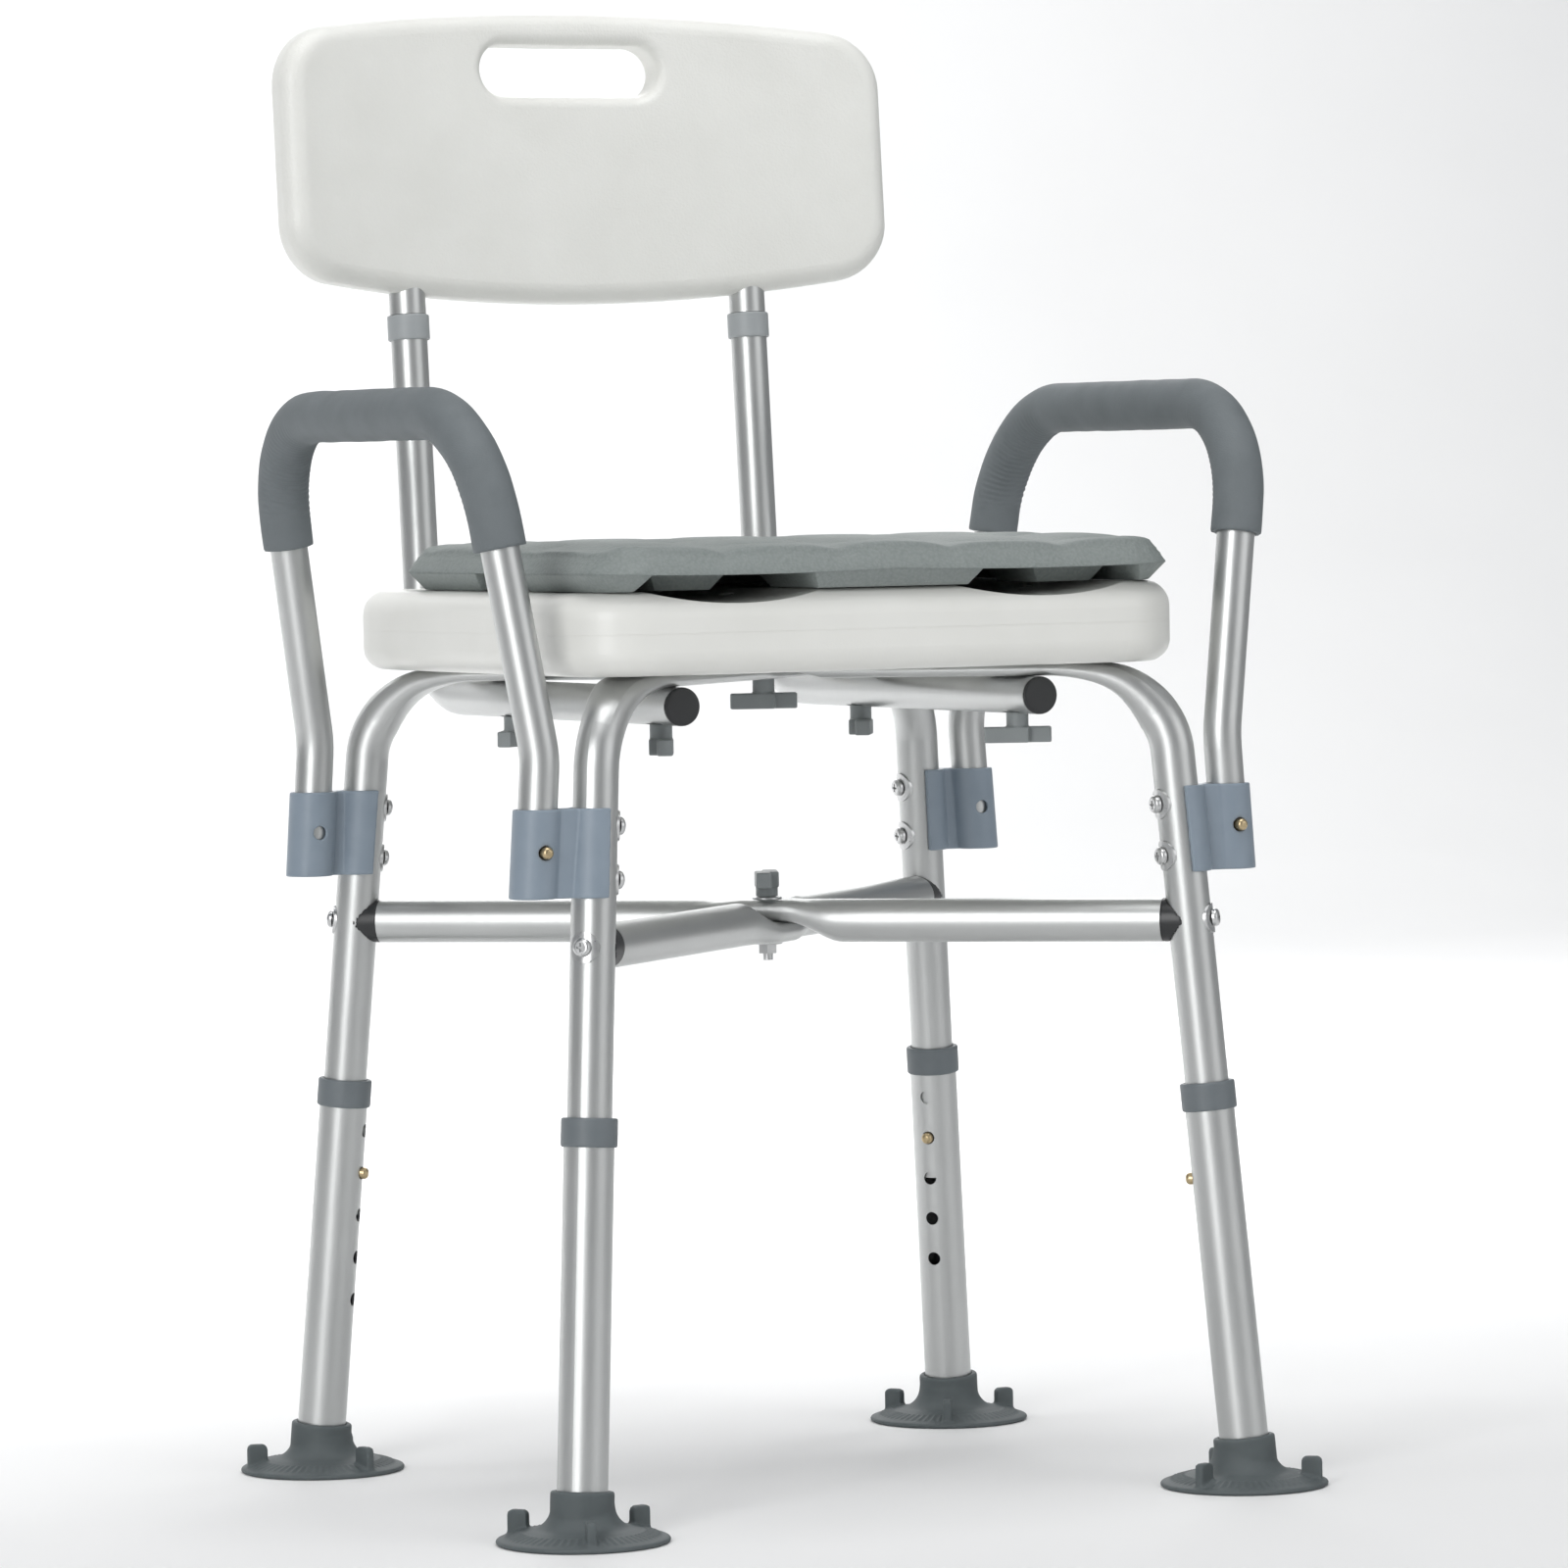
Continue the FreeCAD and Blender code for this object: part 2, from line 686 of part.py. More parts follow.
def foot_neck_bar():
    start = along_leg((foot_flare_low + foot_flare_top) / 2)
    top = along_leg(foot_height)
    neck = rod(V(0, 0, start), V(0, 0, top), foot_neck)
    rims = [edge for edge in neck.Edges if edge.BoundBox.ZMin > top - EPSILON]
    return neck.makeFillet(foot_neck_wall * 0.35, rims)


def lower_legs():
    tube_space = rod(V(0, 0, along_leg(leg_tube_start)), V(0, 0, lower_top_along), lower_od)
    for corner, (side, end) in CORNERS.items():
        keep("lower_leg_" + corner, on_leg(lower_leg_tube(), side, end))
        keep("leg_collar_" + corner, on_leg(leg_collar(), side, end))
        under_neck = leg_point(side, end, foot_height)
        disc = moved(turned(foot_disc(), UP, foot_turns[corner]), V(under_neck.x, under_neck.y, 0))
        whole = disc.fuse(on_leg(foot_neck_bar(), side, end))
        keep("foot_" + corner, whole.cut(on_leg(tube_space, side, end)))


# ---- snap buttons and springs -----------------------------------------------------------------------

def snap_button(tube_radius, tube_wall, cover):
    """Domed button along +X through a tube wall; cover is the radius of the outer tube or socket."""
    back = V(tube_radius - tube_wall - button_depth, 0, 0)
    tip = cover + button_proud
    body = rod(back, V(tip, 0, 0), button_diameter)
    end = [edge for edge in body.Edges if edge.BoundBox.XMin > tip - EPSILON]
    body = body.makeFillet(button_diameter * 0.36, end)
    flange = rod(back, back + V(button_flange_thickness, 0, 0), button_flange)
    return body.fuse(flange).removeSplitter()


def snap_spring(tube_radius, tube_wall):
    """Leaf spring in the XZ plane, folded at the top; the button stands on its +X leaf."""
    inside = tube_radius - tube_wall
    front = inside - button_depth - spring_thickness / 2
    back = spring_back_gap - inside
    drop = button_flange
    outer = [
        V(front, 0, -drop),
        V(front, 0, spring_length * 0.55),
        V(back * 0.35, 0, spring_length),
        V(back, 0, spring_length * 0.85),
        V(back, 0, 0),
    ]
    leaf = []
    for first, second in zip(outer, outer[1:]):
        run = second - first
        normal = V(run.z, 0, -run.x).normalize() * (spring_thickness / 2)
        corners = [first + normal, second + normal, second - normal, first - normal]
        leaf.append(Part.Face(Part.makePolygon(corners + [corners[0]])).extrude(V(0, spring_width, 0)))
    for joint in outer[1:-1]:
        leaf.append(rod(joint, joint + V(0, spring_width, 0), spring_thickness))
    return moved(fused(leaf), V(0, -spring_width / 2, 0))


def leg_snaps():
    springs = []
    lift = V(0, 0, button_along)
    button = turned(snap_button(frame_radius, frame_wall, lower_od / 2), UP, 180)
    spring = turned(snap_spring(frame_radius, frame_wall), UP, 180)
    for corner, (side, end) in CORNERS.items():
        keep("leg_button_" + corner, on_leg(moved(button, lift), side, end))
        springs.append(on_leg(moved(spring, lift), side, end))
    keep("leg_snap_springs", Part.makeCompound(springs))


# ---- cross brace ------------------------------------------------------------------------------------

brace_half = leg_radius_at(brace_height) - frame_radius - brace_pad
brace_flat = brace_od / 2
press_steps = 6


def brace_section(radius, flatness, inset, side):
    depth = half_depth(brace_od, brace_flat, flatness)
    centre = V(radius, 0, brace_height + side * (brace_od / 2 - depth))
    return oval(centre, UP, V(0, 1, 0), brace_od, brace_flat, flatness, inset)


def brace_solid(inset, side):
    """Brace tube in the XZ plane; side 1 keeps the flat part in the upper half, -1 in the lower half."""
    press_end = brace_flat_half + brace_press_length
    flat = Part.Face(brace_section(-brace_flat_half, 1.0, inset, side)).extrude(V(2 * brace_flat_half, 0, 0))
    sections = []
    for step in range(press_steps + 1):
        share = step / press_steps
        radius = brace_flat_half + share * brace_press_length
        sections.append(brace_section(radius, 1 - smooth_step(share), inset, side))
    press = Part.makeLoft(sections, True, False)
    run = rod(V(press_end, 0, brace_height), V(brace_half, 0, brace_height), brace_od - 2 * inset)
    return fused([flat, press, run, mirrored(press, V(1, 0, 0)), mirrored(run, V(1, 0, 0))])


def brace_saddle():
    """Plug in the end of a brace tube along +X, hollowed to sit on the leg and bored for its screw."""
    axis = leg_radius_at(brace_height)
    pad = rod(V(brace_half, 0, brace_height), V(axis, 0, brace_height), brace_od)
    plug = rod(V(brace_half - brace_plug_length, 0, brace_height), V(axis, 0, brace_height),
               brace_od - 2 * brace_wall)
    leg = rod(V(leg_radius_at(0), 0, 0), V(leg_radius_at(seat_underside), 0, seat_underside), frame_od)
    saddle = pad.fuse(plug).cut(leg)
    saddle = max(saddle.Solids, key=lambda piece: piece.Volume)
    outward = V(math.cos(lean), 0, math.sin(lean))
    centre = V(axis, 0, brace_height)
    return saddle.cut(rod(centre - outward * (frame_radius + brace_screw_grip), centre, screw_diameter))


def cross_brace():
    clear = rod(V(0, 0, brace_height - brace_od), V(0, 0, brace_height + brace_od), bolt_hole)
    for name, side, degrees in (("brace_tube_upper", 1, -frame_turn), ("brace_tube_lower", -1, frame_turn)):
        tube = brace_solid(0, side).cut(brace_solid(brace_wall, side)).cut(clear)
        keep(name, turned(tube, UP, degrees))
    lift = V(0, 0, along_leg(brace_height))
    saddles = []
    screws = []
    washers = []
    for side, end in CORNERS.values():
        saddles.append(turned(brace_saddle(), UP, corner_degrees(side, end)))
        screws.append(on_leg(moved(leg_screw(brace_screw_grip), lift), side, end))
        washers.append(on_leg(moved(saddle_washer(), lift), side, end))
    keep("brace_saddles", Part.makeCompound(saddles))
    keep("brace_end_screws", Part.makeCompound(screws))
    keep("brace_end_washers", Part.makeCompound(washers))
    brace_knob_and_bolt()


def hex_prism(across_flats, height, origin):
    reach = across_flats / 2 / math.cos(math.pi / 6)
    corners = []
    for number in range(6):
        angle = number * math.pi / 3
        corners.append(origin + V(reach * math.cos(angle), reach * math.sin(angle), 0))
    return polygon_face(corners).extrude(V(0, 0, height))


def brace_knob_and_bolt():
    top = brace_height + brace_od / 2
    bottom = brace_height - brace_od / 2
    keep("brace_bolt_washers", Part.makeCompound([
        moved(flat_washer(), V(0, 0, top)),
        moved(turned(flat_washer(), V(1, 0, 0), 180), V(0, 0, bottom)),
    ]))
    knob_base = top + washer_thickness + knob_gap
    knob = turned(turned(t_knob(brace_knob_stem), V(1, 0, 0), 180), UP, brace_knob_turn)
    keep("brace_knob", moved(knob, V(0, 0, knob_base)))
    nut_top = bottom - washer_thickness - knob_gap
    nut = hex_prism(nut_across_flats, nut_height, V(0, 0, nut_top - nut_height))
    bolt = rod(V(0, 0, nut_top - nut_height - bolt_tail), V(0, 0, knob_base), bolt_diameter)
    keep("brace_bolt", bolt)
    keep("brace_nut", nut.cut(bolt))


# ---- knobs ------------------------------------------------------------------------------------------

def t_knob(stem_height):
    """T-shaped knob hanging below Z = 0, with its two wings set off to opposite sides."""
    stem = Part.makeCylinder(knob_stem_diameter / 2, stem_height, V(0, 0, -stem_height))
    low = -stem_height - knob_bar_height
    reach = knob_span / 2
    overlap = knob_stem_diameter / 2
    width = knob_wing_width
    wings = []
    for hand in (-1, 1):
        start = V(-overlap if hand > 0 else -reach, hand * knob_wing_offset - width / 2, low)
        wings.append(Part.makeBox(reach + overlap, width, knob_bar_height, start))
    bar = fused(wings)
    bar = bar.makeFillet(knob_edge, bar.Edges)
    return stem.fuse(bar).removeSplitter()


def knob_places():
    """Post crossings and the middle of the seat, with the height that each knob's stem bears on."""
    under_post = post_under + post_dent
    places = {"centre": V(0, 0, seat_underside - strap_thickness)}
    for corner, (side, end) in CORNERS.items():
        places[corner] = V(side * post_half_gap, end * crossing_y, under_post)
    return places


def seat_knobs():
    for name, place in knob_places().items():
        base = place - V(0, 0, knob_gap)
        tip = V(place.x, place.y, seat_underside + knob_bolt_reach)
        knob = moved(turned(t_knob(knob_stem_height), UP, knob_turns[name]), base)
        keep("seat_knob_" + name, knob.fuse(rod(base - V(0, 0, knob_stem_height), tip, bolt_diameter)))


# ---- arm brackets -----------------------------------------------------------------------------------

arm_tilt = math.tan(lean) * math.cos(turn)     # sideways travel of a leg per millimetre of height
arm_base_y = leg_point(1, 1, bracket_middle).y - arm_end_inset


def socket_point(side, end, height):
    x = leg_point(1, 1, bracket_middle).x + socket_offset - arm_tilt * (height - bracket_middle)
    return V(side * x, end * arm_base_y, height)


def upright_wedge(low_span, high_span, low, high, middle_y, width):
    """Block between two X spans, one at each height, centred on middle_y."""
    y = middle_y - width / 2
    corners = [
        V(low_span[0], y, low),
        V(low_span[1], y, low),
        V(high_span[1], y, high),
        V(high_span[0], y, high),
    ]
    return polygon_face(corners).extrude(V(0, width, 0))


def arm_bracket():
    """Bracket of the +X, +Y corner: a half shell on the leg, a web, and the socket for the arm tube."""
    low = bracket_bottom - bracket_height
    high = bracket_bottom + 2 * bracket_height
    leg_low = leg_point(1, 1, low)
    leg_high = leg_point(1, 1, high)
    socket_low = socket_point(1, 1, low)
    socket_high = socket_point(1, 1, high)
    shell = rod(leg_low, leg_high, frame_od + 2 * saddle_wall)
    middle_y = leg_point(1, 1, bracket_middle).y
    web = upright_wedge((leg_low.x, socket_low.x), (leg_high.x, socket_high.x), low, high, middle_y,
                        web_thickness)
    low_span = (leg_low.x - frame_od, leg_low.x - saddle_wrap)
    high_span = (leg_high.x - frame_od, leg_high.x - saddle_wrap)
    inner = upright_wedge(low_span, high_span, low, high, middle_y, 3 * frame_od)
    body = shell.fuse([web, rod(socket_low, socket_high, socket_od)])
    body = body.common(level_slab(bracket_bottom, bracket_bottom + bracket_height)).cut(inner)
    return body.cut(rod(leg_low, leg_high, frame_od)).cut(rod(socket_low, socket_high, socket_bore))


def button_window(side, end):
    """Hole in the front of a socket and of the arm tube in it."""
    centre = socket_point(side, end, arm_button_height)
    return rod(centre, centre - V(0, socket_od, 0), hole_diameter)


def brackets():
    screws = []
    washers = []
    for corner, (side, end) in CORNERS.items():
        shape = at_sides(arm_bracket(), side, end)
        shape = shape.cut(bracket_screw_holes(side, end)).cut(button_window(side, end))
        keep("arm_bracket_" + corner, shape)
        for height in bracket_screw_heights():
            screws.append(facing_in(leg_screw(bracket_screw_grip), side, end, height))
            washers.append(facing_in(saddle_washer(), side, end, height))
    keep("bracket_screws", Part.makeCompound(screws))
    keep("bracket_washers", Part.makeCompound(washers))


# ---- armrests ---------------------------------------------------------------------------------------

def arm_corner(end, height):
    """Point on the +X armrest's centre line above the kink, on the front or rear upright."""
    kink = socket_point(1, end, arm_kink_height)
    rise = height - arm_kink_height
    inward = arm_lean_front if end < 0 else arm_lean_rear
    return V(kink.x + arm_lean_out * rise, kink.y - end * inward * rise, height)


def arm_path():
    end_height = bracket_bottom + arm_end_lift
    points = [
        socket_point(1, -1, end_height),
        socket_point(1, -1, arm_kink_height),
        arm_corner(-1, arm_top_height),
        arm_corner(1, arm_top_height),
        socket_point(1, 1, arm_kink_height),
        socket_point(1, 1, end_height),
    ]
    return rounded_path(points, [arm_kink_radius, arm_bend_radius, arm_bend_radius, arm_kink_radius])


def grip_path():
    points = [
        arm_corner(-1, grip_end_height),
        arm_corner(-1, arm_top_height),
        arm_corner(1, arm_top_height),
        arm_corner(1, grip_end_height),
    ]
    return rounded_path(points, [arm_bend_radius, arm_bend_radius])


def armrests():
    tube = swept_tube(arm_path(), arm_od, arm_wall)
    grip = swept(grip_path(), grip_od).cut(swept(grip_path(), arm_od))
    centre = socket_point(1, -1, arm_button_height)
    tilt = -math.degrees(math.atan(arm_tilt))
    button = turned(snap_button(arm_od / 2, arm_wall, socket_od / 2), UP, -90)
    spring = turned(snap_spring(arm_od / 2, arm_wall), UP, -90)
    button = moved(turned(button, V(0, 1, 0), tilt), centre)
    spring = moved(turned(spring, V(0, 1, 0), tilt), centre)
    tube = tube.cut(button_window(1, -1))
    shapes = {"arm_tube": tube, "arm_grip": grip, "arm_spring": spring, "arm_button": button}
    for name, shape in shapes.items():
        for hand, side in SIDES.items():
            keep(name + "_" + hand, at_sides(shape, side, 1))


# ---- back posts -------------------------------------------------------------------------------------

def post_point(side, height):
    y = seat_half_depth + post_setback + math.tan(post_angle) * (height - seat_underside)
    return V(side * post_half_gap, y, height)


def up_post(shape, side, height):
    """Place a shape on a post, with its Z axis up the post and its +Y side to the rear."""
    tilted = turned(shape, V(1, 0, 0), -post_lean)
    return moved(tilted, post_point(side, height))


def post_dents(side, inset):
    """Blocks that press a flat into a post over its two knobs; inset is the depth below the tube's skin."""
    length = post_dent_length + 2 * inset
    dents = []
    for end in (-1, 1):
        corner = V(side * post_half_gap - post_od, end * crossing_y - length / 2, post_under - post_od)
        dents.append(Part.makeBox(2 * post_od, length, post_od + post_dent + inset, corner))
    return Part.makeCompound(dents)


def back_post(side):
    run_end = post_point(side, post_axis_height)
    points = [V(side * post_half_gap, post_front, post_axis_height), run_end, post_point(side, post_top)]
    path = rounded_path(points, [post_bend_radius])
    outer = swept(path, post_od).cut(post_dents(side, 0))
    inner = swept(path, post_od - 2 * post_wall).cut(post_dents(side, post_wall))
    tube = outer.cut(inner)
    for end in (-1, 1):
        centre = V(side * post_half_gap, end * crossing_y, post_axis_height)
        tube = tube.cut(rod(centre - V(0, 0, post_od), centre + V(0, 0, post_od), bolt_hole))
    window = rod(V(0, 0, 0), V(0, post_od, 0), hole_diameter)
    return tube.cut(up_post(window, side, back_button_height))


def post_collar():
    low = post_collar_lip - post_collar_height
    body = rod(V(0, 0, low), V(0, 0, post_collar_lip), post_collar_od)
    rims = [edge for edge in body.Edges if isinstance(edge.Curve, Part.Circle)]
    body = body.makeFillet(post_collar_wall / 2, rims)
    body = body.cut(rod(V(0, 0, low), V(0, 0, 0), post_od))
    return body.cut(rod(V(0, 0, low), V(0, 0, post_collar_lip), spigot_od + 2 * slide_gap))


def post_end_cap():
    """Push-in plug for the front end of a post; the head faces -Y at Y = 0."""
    head = rod(V(0, -post_cap_head, 0), V(0, 0, 0), post_od)
    front = [edge for edge in head.Edges if edge.BoundBox.YMax < -post_cap_head + EPSILON]
    head = head.makeFillet(post_cap_head * 0.6, front)
    return head.fuse(rod(V(0, 0, 0), V(0, post_cap_plug, 0), post_od - 2 * post_wall))


def back_posts():
    collars = []
    caps = []
    for hand, side in SIDES.items():
        keep("back_post_" + hand, back_post(side))
        collars.append(up_post(post_collar(), side, post_top))
        caps.append(moved(post_end_cap(), V(side * post_half_gap, post_front, post_axis_height)))
    keep("post_collars", Part.makeCompound(collars))
    keep("post_end_caps", Part.makeCompound(caps))


# ---- backrest ---------------------------------------------------------------------------------------

def back_outline(inset):
    """Front view of the panel about its middle height, as a wire in the XZ plane."""
    half = back_half_width - inset
    top = back_high - back_middle_height - inset
    low = back_low - back_middle_height + inset
    side_top = top - back_drop_high
    side_low = low + back_drop_low
    edges = [
        Part.Arc(V(-half, 0, side_low), V(0, 0, low), V(half, 0, side_low)).toShape(),
        Part.LineSegment(V(half, 0, side_low), V(half, 0, side_top)).toShape(),
        Part.Arc(V(half, 0, side_top), V(0, 0, top), V(-half, 0, side_top)).toShape(),
        Part.LineSegment(V(-half, 0, side_top), V(-half, 0, side_low)).toShape(),
    ]
    return Part.Wire(edges)


def curved_slab(thickness):
    """Upright slab bent about an axis in front of the chair, through the panel's mid plane."""
    tall = back_high - back_low
    axis = V(0, -back_curve_radius, -tall)
    outer = Part.makeCylinder(back_curve_radius + thickness / 2, 2 * tall, axis)
    return outer.cut(Part.makeCylinder(back_curve_radius - thickness / 2, 2 * tall, axis))


def is_outline_corner(edge, half, depth, upper):
    """True for the sharp corner edges of the extruded outline, in its upper or lower half."""
    box = edge.BoundBox
    along = box.YLength > depth - EPSILON and box.ZLength < EPSILON
    return along and abs(abs(box.Center.x) - half) < EPSILON and (box.Center.z > 0) == upper


def back_block(inset, edge_radius):
    depth = 4 * back_hollow_depth + back_thickness
    block = moved(Part.Face(back_outline(inset)), V(0, -depth / 2, 0)).extrude(V(0, depth, 0))
    half = back_half_width - inset
    for radius, upper in ((back_corner_low, False), (back_corner_high, True)):
        corners = [edge for edge in block.Edges if is_outline_corner(edge, half, depth, upper)]
        block = block.makeFillet(radius - inset, corners)
    thickness = back_thickness - 2 * inset
    panel = block.common(curved_slab(thickness))
    panel = max(panel.Solids, key=lambda piece: piece.Volume)
    return panel.makeFillet(edge_radius, rim_edges(panel, thickness))


def rim_edges(panel, thickness):
    """Edges around the front and back faces of a curved panel."""
    edges = []
    for edge in panel.Edges:
        middle = edge.valueAt((edge.FirstParameter + edge.LastParameter) / 2)
        reach = math.hypot(middle.x, middle.y + back_curve_radius) - back_curve_radius
        if abs(abs(reach) - thickness / 2) < EPSILON:
            edges.append(edge)
    return edges


def slot_bar(length_half, opening, depth):
    """Stadium-shaped bar through the panel for the hand slot."""
    radius = opening / 2
    reach = length_half - radius
    box = Part.makeBox(2 * reach, depth, opening, V(-reach, -depth / 2, -radius))
    ends = [rod(V(x, -depth / 2, 0), V(x, depth / 2, 0), opening) for x in (-reach, reach)]
    return moved(fused([box] + ends), V(0, 0, slot_height - back_middle_height))


def panel_pose(shape):
    """Lean the panel with the posts and move it to its height, with the stub tubes on the post axes."""
    leaned = turned(moved(shape, V(0, stub_setback, 0)), V(1, 0, 0), -post_lean)
    return moved(leaned, post_point(0, back_middle_height))


def stub_rod(side, low, high, diameter):
    """Upright bar on a stub tube's axis, in the panel's own frame."""
    x = side * post_half_gap
    return rod(V(x, -stub_setback, low), V(x, -stub_setback, high), diameter)


def panel_rear():
    """Y of the panel's rear face at a stub tube, in the panel's own frame."""
    radius = back_curve_radius + back_thickness / 2
    return math.sqrt(radius ** 2 - post_half_gap ** 2) - back_curve_radius


def back_screw_heights():
    first = back_low - back_middle_height + back_drop_low + back_screw_first
    return (first, first + back_screw_spacing)


def back_screw_holes(side):
    """Holes from the rear into a stub tube, with a flat in the panel for each screw head."""
    x = side * post_half_gap
    holes = []
    for height in back_screw_heights():
        seat = V(x, panel_rear(), height)
        holes.append(rod(V(x, -stub_setback, height), seat, screw_diameter))
        holes.append(rod(seat, seat + V(0, screw_head, 0), screw_head))
    return Part.makeCompound(holes)


def is_slot_rim(edge):
    box = edge.BoundBox
    middle = slot_height - back_middle_height
    reach = slot_half_length + EPSILON
    half = slot_opening / 2 + EPSILON
    across = max(-box.XMin, box.XMax) < reach and box.YLength < back_thickness / 2
    return across and box.ZMax < middle + half and box.ZMin > middle - half


stub_low = back_low - back_middle_height
stub_top = stub_low + stub_length
stub_bottom = (post_top - back_middle_height) / math.cos(post_angle) + post_collar_lip + knob_gap
spigot_bottom = stub_bottom - spigot_length


def backrest_panel():
    depth = 4 * back_hollow_depth
    void = back_block(shell_wall, back_edge - shell_wall)
    void = void.cut(slot_bar(slot_half_length + shell_wall, slot_opening + 2 * shell_wall, depth))
    for side in SIDES.values():
        void = void.cut(stub_rod(side, stub_low, stub_top + shell_wall, post_od + 2 * shell_wall))
    panel = back_block(0, back_edge).cut(slot_bar(slot_half_length, slot_opening, depth))
    panel = panel.makeFillet(slot_edge, [edge for edge in panel.Edges if is_slot_rim(edge)])
    panel = panel.cut(void)
    for side in SIDES.values():
        panel = panel.cut(stub_rod(side, stub_low - back_lift, stub_top, post_od))
        panel = panel.cut(back_screw_holes(side))
    return panel


def stub_tube(side):
    """Tube fixed in the panel, narrowed at its lower end to slide into the post."""
    wide = stub_rod(side, stub_bottom, stub_top, post_od)
    narrow = stub_rod(side, spigot_bottom, stub_top, spigot_od)
    tube = wide.fuse(narrow).cut(stub_rod(side, spigot_bottom, stub_top, spigot_od - 2 * post_wall))
    window = up_post(rod(V(0, 0, 0), V(0, post_od, 0), hole_diameter), side, back_button_height)
    return panel_pose(tube.cut(back_screw_holes(side))).cut(window)


def backrest():
    keep("backrest_panel", panel_pose(backrest_panel()))
    button = turned(snap_button(spigot_od / 2, post_wall, post_od / 2), UP, 90)
    spring = turned(snap_spring(spigot_od / 2, post_wall), UP, 90)
    screw_length = panel_rear() + stub_setback - spigot_od / 2 + post_wall
    stubs = []
    screws = []
    springs = []
    for hand, side in SIDES.items():
        keep("backrest_button_" + hand, up_post(button, side, back_button_height))
        stubs.append(stub_tube(side))
        springs.append(up_post(spring, side, back_button_height))
        for height in back_screw_heights():
            seat = V(side * post_half_gap, panel_rear(), height)
            screws.append(panel_pose(pointing(pan_screw(screw_length), seat, V(0, 1, 0))))
    keep("backrest_stub_tubes", Part.makeCompound(stubs))
    keep("backrest_screws", Part.makeCompound(screws))
    keep("backrest_snap_springs", Part.makeCompound(springs))


# ---- seat panel and cushion -------------------------------------------------------------------------

def seat_block(inset):
    """Outer skin of the seat, drawn in by inset."""
    low = seat_underside + inset
    high = seat_top - inset
    block = rounded_plate(seat_half_width - inset, seat_half_depth - inset, low, high, seat_corner - inset)
    bottom = [edge for edge in block.Edges if edge.BoundBox.ZMax < low + EPSILON]
    block = block.makeFillet(seat_edge_low - inset, bottom)
    top = [edge for edge in block.Edges if edge.BoundBox.ZMin > high - EPSILON]
    block = block.makeFillet(seat_edge_high - inset, top)
    for side in SIDES.values():
        block = block.cut(scoop(side * scoop_offset, inset))
    return block


def scoop(x, inset):
    """Shallow round trough for a thigh, deepest at the front edge."""
    front = V(x, -seat_half_depth, seat_top + scoop_radius - scoop_depth)
    rear = V(x, scoop_rear, seat_top + scoop_radius)
    beyond = rear - front
    return rod(front - beyond, rear + beyond, 2 * (scoop_radius + inset))


def drain_places():
    places = []
    for side in SIDES.values():
        for column in (-0.5, 0.5):
            for row in (-1, 0, 1):
                x = side * scoop_offset + column * drain_pitch_x
                places.append((x, row * drain_pitch_y))
    return places


def seat_and_inserts():
    outer = seat_block(0)
    void = seat_block(shell_wall)
    inserts = []
    for place in knob_places().values():
        base = V(place.x, place.y, seat_underside)
        top = base + V(0, 0, insert_height)
        void = void.cut(rod(base, top + V(0, 0, shell_wall), insert_diameter + 4 * shell_wall))
        outer = outer.cut(rod(base, top, insert_diameter))
        inserts.append(rod(base, top, insert_diameter).cut(rod(base, top, bolt_hole)))
    for x, y in drain_places():
        base = V(x, y, seat_underside)
        top = V(x, y, seat_top)
        void = void.cut(rod(base, top, drain_diameter + 2 * shell_wall))
        outer = outer.cut(rod(base, top, drain_diameter))
    keep("seat_panel", outer.cut(void))
    keep("seat_inserts", Part.makeCompound(inserts))


def cushion():
    """Loose foam cushion with a sharp rim, a sloping shoulder and a low crown."""
    layers = [
        (seat_top + cushion_gap, cushion_under_inset),
        (cushion_rim, 0.0),
        (cushion_shoulder, cushion_shoulder_inset),
        (cushion_top, cushion_crown_inset),
    ]
    half_length = (cushion_rear - cushion_front) / 2
    centre_y = (cushion_rear + cushion_front) / 2
    pieces = []
    for (low, low_inset), (high, high_inset) in zip(layers, layers[1:]):
        wires = []
        for height, inset in ((low, low_inset), (high, high_inset)):
            corner = max(cushion_corner - inset, cushion_corner / 3)
            half_x = cushion_half_width - inset
            half_y = half_length - inset
            wires.append(outline_at(half_x, half_y, height, corner, centre_y))
        pieces.append(Part.makeLoft(wires, True, True))
    keep("cushion", fused(pieces))


# ---- build ------------------------------------------------------------------------------------------

def chair_middle():
    """Middle of the chair's outer box, on the floor."""
    box = Part.makeCompound(list(NODES.values())).optimalBoundingBox()
    return V(box.Center.x, box.Center.y, 0)


def build():
    seat_frame()
    lower_legs()
    leg_snaps()
    cross_brace()
    seat_knobs()
    brackets()
    armrests()
    back_posts()
    backrest()
    seat_and_inserts()
    cushion()
    middle = chair_middle()
    print(f"origin under the middle of the chair: x {middle.x:.3f}, y {middle.y:.3f} from the seat's middle")
    os.makedirs("parts", exist_ok=True)
    for name, shape in NODES.items():
        placed = moved(shape, -middle)
        placed.exportStep("parts/" + name + ".step")
        state = "valid" if placed.isValid() else "NOT VALID"
        print(f"{name:28s} {len(placed.Solids):2d} solids {placed.Volume / 1000:9.2f} cm3 {state}")


build()
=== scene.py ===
# %% [markdown]
# # A shower chair, finished for the camera
# The chair comes in as a set of engineering parts that already have their true sizes and joints.
# This lesson gives every part the finish it has in real life, and remakes the soft and moulded parts,
# because foam, rubber and moulded plastic have rounded edges and small waves that a drawing leaves out.
# Lengths are in metres, +Z is up and the sitter faces -Y.

# %% Load the frame
import json
import math

import bmesh
import bpy
from mathutils import Matrix, Vector, noise

